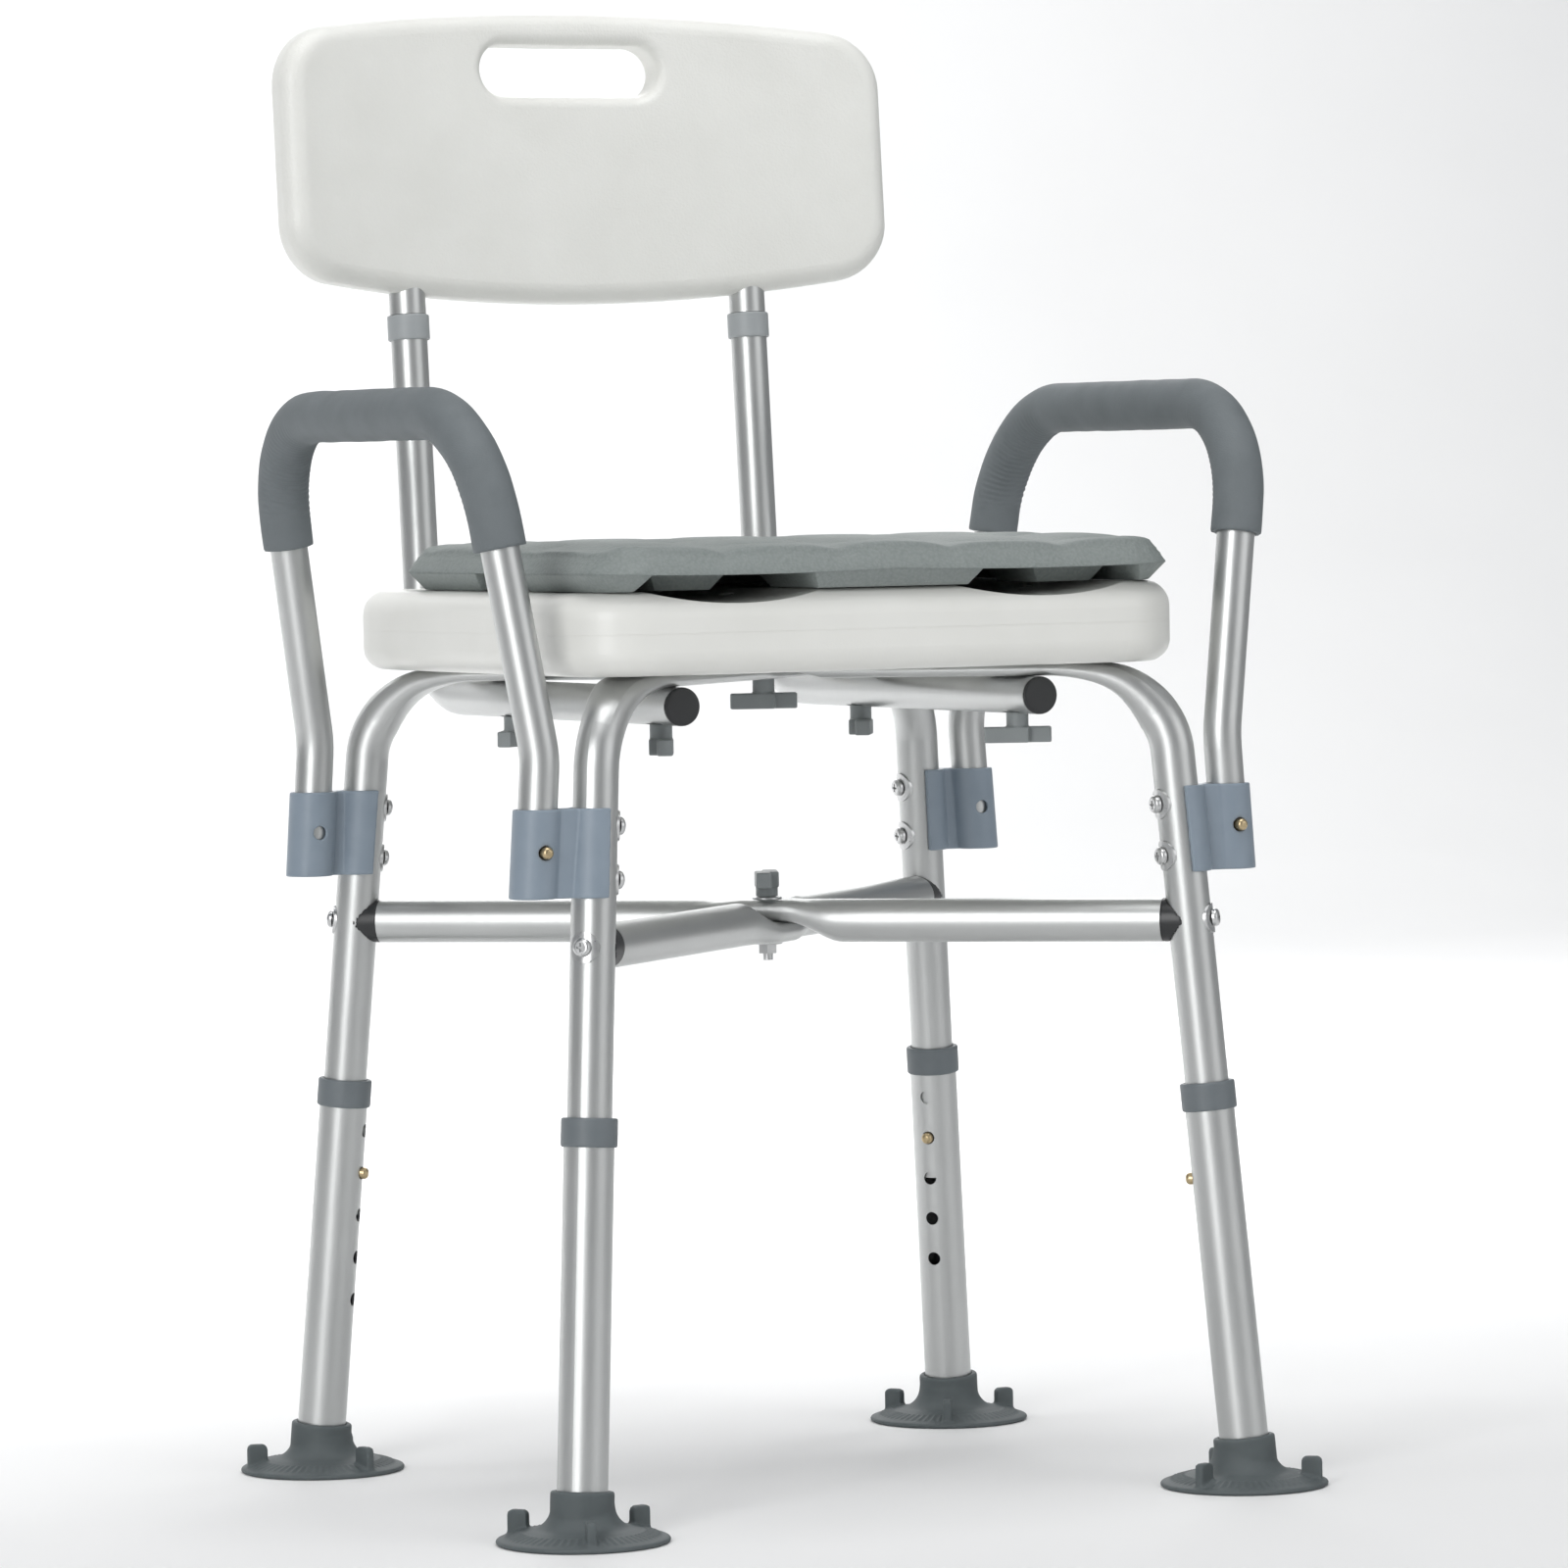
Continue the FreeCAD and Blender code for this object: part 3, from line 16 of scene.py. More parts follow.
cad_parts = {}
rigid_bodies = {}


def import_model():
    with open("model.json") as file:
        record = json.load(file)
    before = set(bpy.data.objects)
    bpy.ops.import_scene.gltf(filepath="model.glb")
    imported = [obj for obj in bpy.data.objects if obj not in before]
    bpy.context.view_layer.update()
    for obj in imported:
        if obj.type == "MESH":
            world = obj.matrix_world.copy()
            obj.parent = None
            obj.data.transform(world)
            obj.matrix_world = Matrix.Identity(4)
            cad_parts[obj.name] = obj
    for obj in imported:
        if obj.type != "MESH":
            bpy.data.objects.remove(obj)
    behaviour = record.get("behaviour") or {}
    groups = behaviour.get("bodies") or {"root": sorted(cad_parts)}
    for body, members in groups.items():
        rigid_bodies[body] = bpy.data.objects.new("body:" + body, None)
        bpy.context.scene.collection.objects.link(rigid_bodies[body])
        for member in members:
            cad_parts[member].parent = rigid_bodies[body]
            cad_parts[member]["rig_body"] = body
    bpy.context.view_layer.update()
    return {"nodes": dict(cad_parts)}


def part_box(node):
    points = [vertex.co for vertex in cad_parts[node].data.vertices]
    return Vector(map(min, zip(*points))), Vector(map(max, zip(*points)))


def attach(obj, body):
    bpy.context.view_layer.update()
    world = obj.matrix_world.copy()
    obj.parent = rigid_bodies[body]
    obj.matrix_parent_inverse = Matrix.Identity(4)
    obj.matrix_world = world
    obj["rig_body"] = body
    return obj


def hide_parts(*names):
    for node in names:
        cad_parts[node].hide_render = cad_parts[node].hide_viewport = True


MM = 0.001
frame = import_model()

# %% [markdown]
# ## The camera
# A long lens far away keeps the legs nearly parallel, as in a catalogue. The camera is placed by its
# position and three turns, because a pointing constraint would leave it no roll.

# %% Place the camera
CAMERA_PLACE = Vector((-1.991284, -3.998188, 0.595434))
CAMERA_YAW = math.radians(-26.7606)
CAMERA_PITCH = math.radians(-2.3933)
CAMERA_ROLL = math.radians(-0.9553)
LENS = 173.6
SENSOR = 36.0


def camera_matrix(place, yaw, pitch, roll):
    """Camera pose that looks along +Y at rest, turned by yaw about Z, pitch about X, then roll."""
    upright = Matrix.Rotation(yaw, 4, "Z") @ Matrix.Rotation(math.pi / 2 + pitch, 4, "X")
    return Matrix.Translation(place) @ upright @ Matrix.Rotation(roll, 4, "Z")


camera = bpy.data.objects.new("camera", bpy.data.cameras.new("camera"))
camera.data.lens = LENS
camera.data.sensor_width = SENSOR
camera.data.dof.use_dof = False
camera.matrix_world = camera_matrix(CAMERA_PLACE, CAMERA_YAW, CAMERA_PITCH, CAMERA_ROLL)
bpy.context.scene.collection.objects.link(camera)
bpy.context.scene.camera = camera
print("camera at", tuple(round(v, 3) for v in camera.matrix_world.translation))

# %% [markdown]
# ## The studio
# White products on a white ground need soft light from large panels. The panels are what the aluminium
# tubes mirror: one bright panel gives each tube its long highlight, and the grey room between the
# panels gives it dark edges. The ground is one sheet that curves up behind the chair, so that no
# horizon shows.

# %% Mesh helpers


def of_kind(items, kind):
    """Points, edges or faces out of what a bmesh operator made."""
    return [item for item in items if isinstance(item, kind)]


def shade_smooth(mesh):
    for face in mesh.polygons:
        face.use_smooth = True


def new_object(name, form):
    """Smooth object in the scene, made from a finished bmesh."""
    mesh = bpy.data.meshes.new(name)
    form.to_mesh(mesh)
    form.free()
    shade_smooth(mesh)
    made = bpy.data.objects.new(name, mesh)
    bpy.context.scene.collection.objects.link(made)
    return made


print("mesh helpers ready")

# %% Build the ground
GROUND_HALF_WIDTH = 5.0
GROUND_FRONT = -5.0
GROUND_BACK = 4.0
GROUND_BEND = 2.0
GROUND_BEND_STEPS = 16
GROUND_WALL = 4.0


def build_ground():
    """One sheet: floor, a quarter bend behind the chair, and a wall."""
    form = bmesh.new()
    ends = [form.verts.new((side * GROUND_HALF_WIDTH, GROUND_FRONT, 0)) for side in (-1, 1)]
    edge = form.edges.new(ends)
    run = bmesh.ops.extrude_edge_only(form, edges=[edge])
    moved = of_kind(run["geom"], bmesh.types.BMVert)
    bmesh.ops.translate(form, verts=moved, vec=(0, GROUND_BACK - GROUND_FRONT, 0))
    bend = bmesh.ops.spin(
        form,
        geom=of_kind(run["geom"], bmesh.types.BMEdge) + moved,
        cent=(0, GROUND_BACK, GROUND_BEND),
        axis=(1, 0, 0),
        angle=math.pi / 2,
        steps=GROUND_BEND_STEPS,
    )
    wall = bmesh.ops.extrude_edge_only(form, edges=of_kind(bend["geom_last"], bmesh.types.BMEdge))
    raised = of_kind(wall["geom"], bmesh.types.BMVert)
    bmesh.ops.translate(form, verts=raised, vec=(0, 0, GROUND_WALL))
    bmesh.ops.recalc_face_normals(form, faces=form.faces)
    sheet = new_object("ground", form)
    return sheet


ground = build_ground()
print("ground faces", len(ground.data.polygons))

# %% Light the studio
AIM = Vector((0, 0, 0.45))
WALL_AIM = Vector((0, 6.0, 1.6))


def soft_panel(name, place, width, height, power, aim=AIM):
    """Rectangular light panel that faces a point, by default the middle of the chair."""
    light = bpy.data.lights.new(name, "AREA")
    light.shape = "RECTANGLE"
    light.size = width
    light.size_y = height
    light.energy = power
    panel = bpy.data.objects.new(name, light)
    panel.location = place
    panel.rotation_euler = (aim - Vector(place)).to_track_quat("-Z", "Y").to_euler()
    bpy.context.scene.collection.objects.link(panel)


soft_panel("key_panel", (-3.0, -2.4, 1.5), width=1.3, height=2.6, power=66)
soft_panel("fill_panel", (2.6, -3.6, 1.8), width=3.2, height=3.0, power=34)
soft_panel("top_panel", (0.0, -0.6, 3.2), width=2.0, height=2.0, power=42)
soft_panel("rear_panel", (1.6, 3.0, 2.2), width=1.6, height=1.6, power=24)
soft_panel("wall_panel", (0.0, 1.0, 3.4), width=6.0, height=1.0, power=330, aim=WALL_AIM)

ROOM_GREY = (0.36, 0.37, 0.38, 1.0)
ROOM_STRENGTH = 0.8
world = bpy.data.worlds.new("room")
world.use_nodes = True
background = world.node_tree.nodes["Background"].inputs
background["Color"].default_value = ROOM_GREY
background["Strength"].default_value = ROOM_STRENGTH
bpy.context.scene.world = world
bpy.context.scene.view_settings.view_transform = "Standard"

# %% [markdown]
# ## Writing finishes as sums
# A finish is a small sum of patterns: some noise here, a mask there. Wiring that by hand hides the
# idea, so a socket is wrapped in a class whose +, - and * add the Math nodes. One method makes any
# other node from its type, its settings and its sockets.

# %% Shader helpers


class Amount:
    """A number that varies over the surface."""

    def __init__(self, finish, socket):
        self.finish = finish
        self.socket = socket

    def _join(self, operation, first, second):
        made = self.finish.node("ShaderNodeMath", {"operation": operation}, {0: first, 1: second})
        return made["Value"]

    def __add__(self, other):
        return self._join("ADD", self, other)

    def __radd__(self, other):
        return self._join("ADD", other, self)

    def __sub__(self, other):
        return self._join("SUBTRACT", self, other)

    def __rsub__(self, other):
        return self._join("SUBTRACT", other, self)

    def __mul__(self, other):
        return self._join("MULTIPLY", self, other)

    def __rmul__(self, other):
        return self._join("MULTIPLY", other, self)


class Finish:
    """A material under construction, with a Principled shader at its end."""

    def __init__(self, name):
        self.material = bpy.data.materials.new(name)
        self.material.use_nodes = True
        self.tree = self.material.node_tree
        self.shader = self.tree.nodes["Principled BSDF"]
        self.places = self.node("ShaderNodeTexCoord", {}, {})["Object"]

    def node(self, kind, settings, inputs):
        """Add a node: settings first, then its sockets. Gives its outputs by name."""
        made = self.tree.nodes.new(kind)
        for setting, value in settings.items():
            if setting == "stops":
                self.set_stops(made.color_ramp, value)
            else:
                setattr(made, setting, value)
        for socket, value in inputs.items():
            self.feed(made.inputs[socket], value)
        return {output.name: Amount(self, output) for output in made.outputs if output.enabled}

    def set_stops(self, ramp, stops):
        """Give a colour ramp its (position, grey) stops."""
        while len(ramp.elements) < len(stops):
            ramp.elements.new(0.5)
        for element, (position, grey) in zip(ramp.elements, stops):
            element.position = position
            element.color = (grey, grey, grey, 1.0)

    def feed(self, socket, value):
        """Link a varying amount to a socket, or set a constant."""
        if isinstance(value, Amount):
            self.tree.links.new(value.socket, socket)
        elif hasattr(socket.default_value, "__len__") and len(socket.default_value) == 4:
            socket.default_value = (*value[:3], 1.0)
        else:
            socket.default_value = value

    def surface(self, **values):
        """Set the shader's own sockets, by their names with underscores."""
        for name, value in values.items():
            self.feed(self.shader.inputs[name.replace("_", " ").title()], value)

    def grain(self, size, detail=2.0, stretch=(1, 1, 1)):
        """Soft noise whose blotches are about size across."""
        scaled = self.node(
            "ShaderNodeMapping", {"vector_type": "POINT"}, {"Vector": self.places, "Scale": stretch}
        )["Vector"]
        inputs = {"Vector": scaled, "Scale": 1 / size, "Detail": detail}
        made = self.node("ShaderNodeTexNoise", {}, inputs)
        return made.get("Fac") or made["Factor"]

    def pebbles(self, size):
        """Rounded bumps about size across, from 0 between them to about 1 on top."""
        inputs = {"Vector": self.places, "Scale": 1 / size, "Smoothness": 0.6}
        made = self.node("ShaderNodeTexVoronoi", {"feature": "SMOOTH_F1"}, inputs)
        return 1.0 - made["Distance"]

    def tint(self, share, first, second):
        """Colour that goes from first to second as share goes from 0 to 1."""
        inputs = {0: share, 6: first, 7: second}
        made = self.node("ShaderNodeMix", {"data_type": "RGBA"}, inputs)
        return made["Result"]

    def relief(self, height, depth):
        """Bump the surface by a height pattern that is depth deep."""
        inputs = {"Height": height, "Distance": depth}
        self.surface(normal=self.node("ShaderNodeBump", {}, inputs)["Normal"])


print("shader helpers ready")

# %% [markdown]
# ## Satin aluminium
# The tubes are extruded, brushed lightly and anodised. What the eye reads is a soft highlight that is
# slightly streaked along the tube, so a noise stretched along the height varies the roughness and a
# very shallow relief. The oxide layer makes the metal a little blue and dull.

# %% Metal finishes


def anodised_aluminium(name):
    finish = Finish(name)
    streaks = finish.grain(2.2 * MM, 3.0, stretch=(1, 1, 0.03))
    clouds = finish.grain(60 * MM, 2.0)
    finish.surface(
        base_color=finish.tint(clouds, (0.515, 0.525, 0.520), (0.585, 0.593, 0.590)),
        metallic=1.0,
        roughness=0.33 + streaks * 0.10 + clouds * 0.04,
    )
    finish.relief(streaks, 0.02 * MM)
    return finish.material


def plated_metal(name, dark, light, rough):
    """Zinc, brass or spring steel: clouded colour and small scratches."""
    finish = Finish(name)
    clouds = finish.grain(4 * MM, 4.0)
    scratches = finish.grain(0.7 * MM, 2.0, stretch=(1, 0.2, 1))
    finish.surface(
        base_color=finish.tint(clouds, dark, light),
        metallic=1.0,
        roughness=rough + clouds * 0.12 + scratches * 0.08,
    )
    finish.relief(scratches, 0.03 * MM)
    return finish.material


METALS = {
    "aluminium_tube": anodised_aluminium("satin_aluminium"),
    "brass_button": plated_metal("brass", (0.40, 0.31, 0.18), (0.62, 0.50, 0.31), 0.22),
    "spring_steel": plated_metal("spring_steel", (0.34, 0.34, 0.35), (0.48, 0.48, 0.50), 0.25),
    "zinc_steel": plated_metal("zinc_plate", (0.52, 0.53, 0.54), (0.70, 0.70, 0.69), 0.20),
}
print("metals", sorted(METALS))

# %% [markdown]
# ## Blow-moulded white plastic
# The seat and the backrest are hollow polyethylene blown into a mould. The backrest's mould was etched,
# which leaves fine leathery pebbles; the seat came from a smoother mould, and a faint line runs round
# it where the two mould halves met. Both are warm white and slightly waxy.

# %% White plastics
SEAT_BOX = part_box("seat_panel")
PARTING_HEIGHT = (SEAT_BOX[0].z + SEAT_BOX[1].z) / 2
PARTING_HALF_WIDTH = 0.35 * MM
SEAT_PEBBLE_SHARE = 0.22
WARM_WHITE_LOW = (0.70, 0.70, 0.665)
WARM_WHITE_HIGH = (0.78, 0.78, 0.75)


def waxy_white(name, rough):
    """White polyethylene: slow colour clouds, a waxy gloss and pebbles, to be made into relief."""
    finish = Finish(name)
    clouds = finish.grain(45 * MM, 2.0)
    pebbles = finish.pebbles(1.5 * MM) + finish.grain(0.9 * MM, 2.0) * 0.7
    finish.surface(
        base_color=finish.tint(clouds, WARM_WHITE_LOW, WARM_WHITE_HIGH),
        roughness=rough + clouds * 0.06,
        coat_weight=0.08,
    )
    return finish, pebbles


def backrest_white():
    finish, pebbles = waxy_white("pebbled_white", 0.42)
    finish.relief(pebbles, 0.15 * MM)
    return finish.material


def seat_white():
    finish, pebbles = waxy_white("satin_white", 0.36)
    height = finish.node("ShaderNodeSeparateXYZ", {}, {"Vector": finish.places})["Z"]
    off_line = finish.node(
        "ShaderNodeMath", {"operation": "COMPARE"}, {0: height, 1: PARTING_HEIGHT, 2: PARTING_HALF_WIDTH}
    )["Value"]
    finish.relief(pebbles * SEAT_PEBBLE_SHARE - off_line, 0.10 * MM)
    return finish.material


WHITES = {"backrest_panel": backrest_white(), "seat_panel": seat_white()}
print("white plastics", sorted(WHITES))

# %% [markdown]
# ## Moulded greys and rubber
# Brackets, collars, knobs and saddles are injection moulded: one even colour with a fine spark-eroded
# grain that breaks up the highlight. Rubber is rougher. One function makes them all,
# and the numbers tell them apart.

# %% Moulded finishes


def moulded(name, dark, light, rough, grain_depth):
    """Injection-moulded plastic or rubber with a fine etched grain."""
    finish = Finish(name)
    clouds = finish.grain(14 * MM, 3.0)
    etched = finish.grain(0.35 * MM, 2.0)
    finish.surface(
        base_color=finish.tint(clouds, dark, light),
        roughness=rough + clouds * 0.08 + etched * 0.05,
    )
    finish.relief(etched, grain_depth)
    return finish.material


MOULDED = {
    "grey_plastic": moulded("collar_grey", (0.125, 0.145, 0.157), (0.155, 0.175, 0.188), 0.42, 0.03 * MM),
    "bracket_plastic": moulded("bracket_grey", (0.205, 0.252, 0.302), (0.245, 0.295, 0.350), 0.36, 0.03 * MM),
    "knob_plastic": moulded("knob_grey", (0.215, 0.236, 0.240), (0.255, 0.276, 0.280), 0.38, 0.03 * MM),
    "black_plastic": moulded("black_plastic", (0.014, 0.015, 0.016), (0.024, 0.025, 0.027), 0.28, 0.02 * MM),
    "foot_rubber": moulded("dusty_rubber", (0.070, 0.084, 0.088), (0.105, 0.124, 0.128), 0.58, 0.05 * MM),
    "white_plastic": moulded("insert_white", WARM_WHITE_LOW, WARM_WHITE_HIGH, 0.40, 0.02 * MM),
}
POST_COLLAR_GREY = moulded("post_collar_grey", (0.30, 0.32, 0.33), (0.36, 0.38, 0.39), 0.40, 0.03 * MM)
print("moulded finishes", len(MOULDED) + 1)

# %% [markdown]
# ## Foam
# The cushion and the grips are closed-cell foam with a skin. The cushion's skin is cast in a pebbled
# mould, the grips' skin has open pores. Both are matt, so most of their look is relief.

# %% Foam finishes


def cushion_foam():
    finish = Finish("pebbled_foam")
    pebbles = finish.pebbles(1.9 * MM) + finish.grain(1.2 * MM, 3.0) * 0.8
    clouds = finish.grain(50 * MM, 2.0)
    # Painted shade and light: the colour is darker in the hollows between the pebbles and lighter on their
    # tops.
    pebble_shading = finish.tint(pebbles * 0.7, (0.155, 0.178, 0.172), (0.245, 0.272, 0.264))
    finish.surface(
        base_color=finish.tint(clouds * 0.35, pebble_shading, (0.225, 0.252, 0.246)),
        roughness=0.58 + clouds * 0.08,
    )
    finish.relief(pebbles, 0.28 * MM)
    return finish.material


def grip_foam():
    finish = Finish("grip_foam")
    pores = finish.pebbles(0.8 * MM)
    clouds = finish.grain(20 * MM, 3.0)
    finish.surface(
        base_color=finish.tint(clouds, (0.118, 0.135, 0.143), (0.165, 0.185, 0.195)),
        roughness=0.66 + pores * 0.10,
    )
    finish.relief(pores + clouds * 2.0, 0.10 * MM)
    return finish.material


FOAMS = {"cushion_foam": cushion_foam(), "grip_foam": grip_foam()}
SLOT_FINISHES = {**METALS, **MOULDED, **FOAMS}
print("foams", sorted(FOAMS))

# %% [markdown]
# ## Finishing the engineering parts
# Most metal parts already have the right shape. Each keeps its mesh and only swaps its material for
# the finish of its slot. The ground gets a pale matt paint with a trace of mottling.

# %% Give each part its finish


def slot_of(node):
    """Name of the material slot that a CAD node came with."""
    return node.data.materials[0].name.split(".")[0]


NODE_SLOTS = {name: slot_of(node) for name, node in frame["nodes"].items()}
for name, node in frame["nodes"].items():
    node.data.materials[0] = WHITES.get(name, SLOT_FINISHES[NODE_SLOTS[name]])
frame["nodes"]["post_collars"].data.materials[0] = POST_COLLAR_GREY


def ground_paint():
    finish = Finish("ground_paint")
    mottle = finish.grain(0.4, 2.0)
    finish.surface(
        base_color=finish.tint(mottle, (0.80, 0.80, 0.80), (0.84, 0.84, 0.84)),
        roughness=0.85,
    )
    return finish.material


ground.data.materials.append(ground_paint())
print("finished parts", len(NODE_SLOTS))

# %% [markdown]
# ## Moulded parts with soft edges
# A drawing has knife edges; a moulding never has, because the mould is rounded and the part shrinks.
# Bevelling every edge by hand is slow, so a copy of each moulded part is rebuilt on a fine grid of
# cubes and relaxed a little, which rounds each edge by about one cube and fills inner corners.

# %% Soft-edged copies
WELD = 0.002 * MM
PLASTIC_PASSES = 2
RUBBER_PASSES = 3


def new_piece(name, form, material):
    """Object from a finished bmesh, with one material."""
    piece = new_object(name, form)
    piece.data.materials.append(material)
    return piece


def merged_copy(node_name):
    """The part's mesh as one connected skin."""
    form = bmesh.new()
    form.from_mesh(frame["nodes"][node_name].data)
    bmesh.ops.remove_doubles(form, verts=form.verts, dist=WELD)
    return form


def rebuild_on_grid(piece, cube):
    """Replace the piece's mesh by an even skin of squares about cube wide."""
    remesh = piece.modifiers.new("grid", "REMESH")
    remesh.mode = "VOXEL"
    remesh.voxel_size = cube
    graph = bpy.context.evaluated_depsgraph_get()
    rebuilt = bpy.data.meshes.new_from_object(piece.evaluated_get(graph))
    rebuilt.name = piece.name
    piece.modifiers.clear()
    piece.data = rebuilt


def relax(piece, passes):
    """Even out a skin's steps by moving each point towards its neighbours."""
    form = bmesh.new()
    form.from_mesh(piece.data)
    for _ in range(passes):
        bmesh.ops.smooth_vert(
            form, verts=form.verts, factor=0.5, use_axis_x=True, use_axis_y=True, use_axis_z=True
        )
    form.to_mesh(piece.data)
    form.free()
    shade_smooth(piece.data)


def soft_copy(node_name, prefix, cube, passes):
    """Soft-edged piece that stands for a moulded part, on the part's own body."""
    part = frame["nodes"][node_name]
    piece = new_piece(prefix + node_name, merged_copy(node_name), part.data.materials[0])
    rebuild_on_grid(piece, cube)
    relax(piece, passes)
    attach(piece, part["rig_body"])
    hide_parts(node_name)
    return piece


CORNERS = ("front_left", "front_right", "rear_left", "rear_right")
FINE_CUBE = 0.5 * MM
SADDLE_CUBE = 0.6 * MM
BRACKET_CUBE = 0.7 * MM
cubes = {
    "brace_knob": FINE_CUBE,
    "brace_saddles": SADDLE_CUBE,
    "post_collars": FINE_CUBE,
    "seat_knob_centre": FINE_CUBE,
    "post_end_caps": FINE_CUBE,
}
for corner in CORNERS:
    cubes["leg_collar_" + corner] = FINE_CUBE
    cubes["seat_knob_" + corner] = FINE_CUBE
    cubes["arm_bracket_" + corner] = BRACKET_CUBE
for part_name, cube in cubes.items():
    copy = soft_copy(part_name, "soft_", cube, PLASTIC_PASSES)
    print(copy.name, len(copy.data.polygons))

# %% [markdown]
# ## Suction feet
# Each foot is one piece of rubber: a neck that grips the leg, a wide cup and three upright tabs to
# lift its edge with. The rebuilt copy melts the tabs into the cup as rubber does. A band of fine
# radial ribs fills the skirt between the tabs; it is made by raising the points of the skin.

# %% Ribbed feet
FOOT_CUBE = 0.9 * MM
RIB_COUNT = 60
RIB_HEIGHT = 0.7 * MM
RIB_BAND = (33.5 * MM, 44.5 * MM)
RIB_FADE = 2.0 * MM
SKIRT_TOP = 8 * MM
FACING_UP = 0.5


def smooth_step(share):
    share = min(max(share, 0.0), 1.0)
    return share * share * (3 - 2 * share)


def band_weight(value, low, high, fade):
    """1 inside a band, falling to 0 over fade on both sides of it."""
    return smooth_step((value - low) / fade) * smooth_step((high - value) / fade)


def foot_centre(node_name):
    low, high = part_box(node_name)
    return (low.x + high.x) / 2, (low.y + high.y) / 2


def rib_skirt(piece, node_name):
    """Raise radial ribs on the upper side of a foot's skirt."""
    middle_x, middle_y = foot_centre(node_name)
    for vertex, normal in zip(piece.data.vertices, piece.data.vertex_normals):
        if normal.vector.z < FACING_UP or vertex.co.z > SKIRT_TOP:
            continue
        away_x = vertex.co.x - middle_x
        away_y = vertex.co.y - middle_y
        weight = band_weight(math.hypot(away_x, away_y), *RIB_BAND, RIB_FADE)
        wave = math.cos(math.atan2(away_y, away_x) * RIB_COUNT)
        vertex.co.z += RIB_HEIGHT * weight * max(wave, 0.0)


for corner in CORNERS:
    foot = soft_copy("foot_" + corner, "rubber_", FOOT_CUBE, RUBBER_PASSES)
    rib_skirt(foot, "foot_" + corner)
    print(foot.name, len(foot.data.polygons))

# %% [markdown]
# ## Foam grips
# A foam sleeve is pushed over each arm tube. On the inside of a bend the foam has less room than it is
# long, so it folds into fine wrinkles. The copy is rebuilt on a grid first; then each point moves in or
# out along its normal, with a ripple that follows the angle round the bend, and a slow unevenness
# everywhere, because foam is never perfectly round.

# %% Wrinkled grips
GRIP_CUBE = 0.95 * MM
BEND_RADIUS = 68 * MM
SLEEVE_RADIUS = 15 * MM
WRINKLE_DEPTH = 0.45 * MM
WRINKLE_ANGLE = math.radians(3.3)
WRINKLE_FADE = 0.35
WRINKLE_REACH = 2 * MM
FRONT_SHARE = 0.35
DRIFT_TURN = 1.6
DRIFT_SIZE = 9 * MM
UNEVEN_DEPTH = 0.35 * MM
UNEVEN_SIZE = 18 * MM


def bend_middles(node_name):
    """Centres of a grip's front and rear bends, as (y, z)."""
    low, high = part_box(node_name)
    level = high.z - SLEEVE_RADIUS
    inset = SLEEVE_RADIUS + BEND_RADIUS
    return [(low.y + inset, level - BEND_RADIUS), (high.y - inset, level - BEND_RADIUS)]


def wrinkle(place, middle, outward):
    """Depth of the wrinkles of one bend at a place."""
    away_y = (place.y - middle[0]) * outward
    away_z = place.z - middle[1]
    radius = math.hypot(away_y, away_z)
    angle = math.atan2(away_z, away_y)
    inner = smooth_step((BEND_RADIUS + WRINKLE_REACH - radius) / SLEEVE_RADIUS)
    inside_bend = band_weight(angle, 0.0, math.pi / 2, WRINKLE_FADE)
    drift = noise.noise(place / DRIFT_SIZE) * DRIFT_TURN
    return inner * inside_bend * math.sin(2 * math.pi * angle / WRINKLE_ANGLE + drift)


def wrinkled_grip(node_name):
    grip = soft_copy(node_name, "foam_", GRIP_CUBE, RUBBER_PASSES)
    front, rear = bend_middles(node_name)
    middles = [(front, -1, FRONT_SHARE), (rear, 1, 1.0)]
    moves = []
    for vertex, normal in zip(grip.data.vertices, grip.data.vertex_normals):
        depth = UNEVEN_DEPTH * noise.noise(vertex.co / UNEVEN_SIZE)
        for middle, outward, share in middles:
            depth += WRINKLE_DEPTH * share * wrinkle(vertex.co, middle, outward)
        moves.append(normal.vector * depth)
    for vertex, move in zip(grip.data.vertices, moves):
        vertex.co += move
    return grip


for hand in ("left", "right"):
    sleeve = wrinkled_grip("arm_grip_" + hand)
    print(sleeve.name, len(sleeve.data.polygons))

# %% [markdown]
# ## The cushion
# The loose cushion is one piece of cast foam. Its top is a field of low pillows with soft valleys
# between them, its sides meet in a sharp rim, and it stands on separate chamfered blocks, so that water
# runs off under it. A cloth simulation would blow it up like a fabric bag, which cast foam isn't, so
# the slab is grown by insetting a rounded outline, cut into a fine net, and its points are then raised
# by a pillow formula.

# %% Size the cushion
CUSHION_LOW, CUSHION_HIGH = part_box("cushion")
CUSHION_MIDDLE = (CUSHION_LOW + CUSHION_HIGH) / 2
HALF_WIDTH = (CUSHION_HIGH.x - CUSHION_LOW.x) / 2
HALF_DEPTH = (CUSHION_HIGH.y - CUSHION_LOW.y) / 2
RIM_LIFT = 10.2 * MM
RIM_EDGE = 0.6 * MM
CORNER_RADIUS = 34 * MM
CORNER_STEPS = 10
SHOULDER_INSET = 9 * MM
SHOULDER_RISE = 13 * MM
CROWN_INSET = 22 * MM
CROWN_RISE = 2.2 * MM
NET_PITCH = 4 * MM
PILLOW_X = 72 * MM
PILLOW_Y = 73 * MM
PILLOW_HEIGHT = 3.2 * MM
PILLOW_LEVEL = 0.35
SHOULDER_PASSES = 14
print("cushion", round(2 * HALF_WIDTH, 4), "by", round(2 * HALF_DEPTH, 4))

# %% Grow the slab


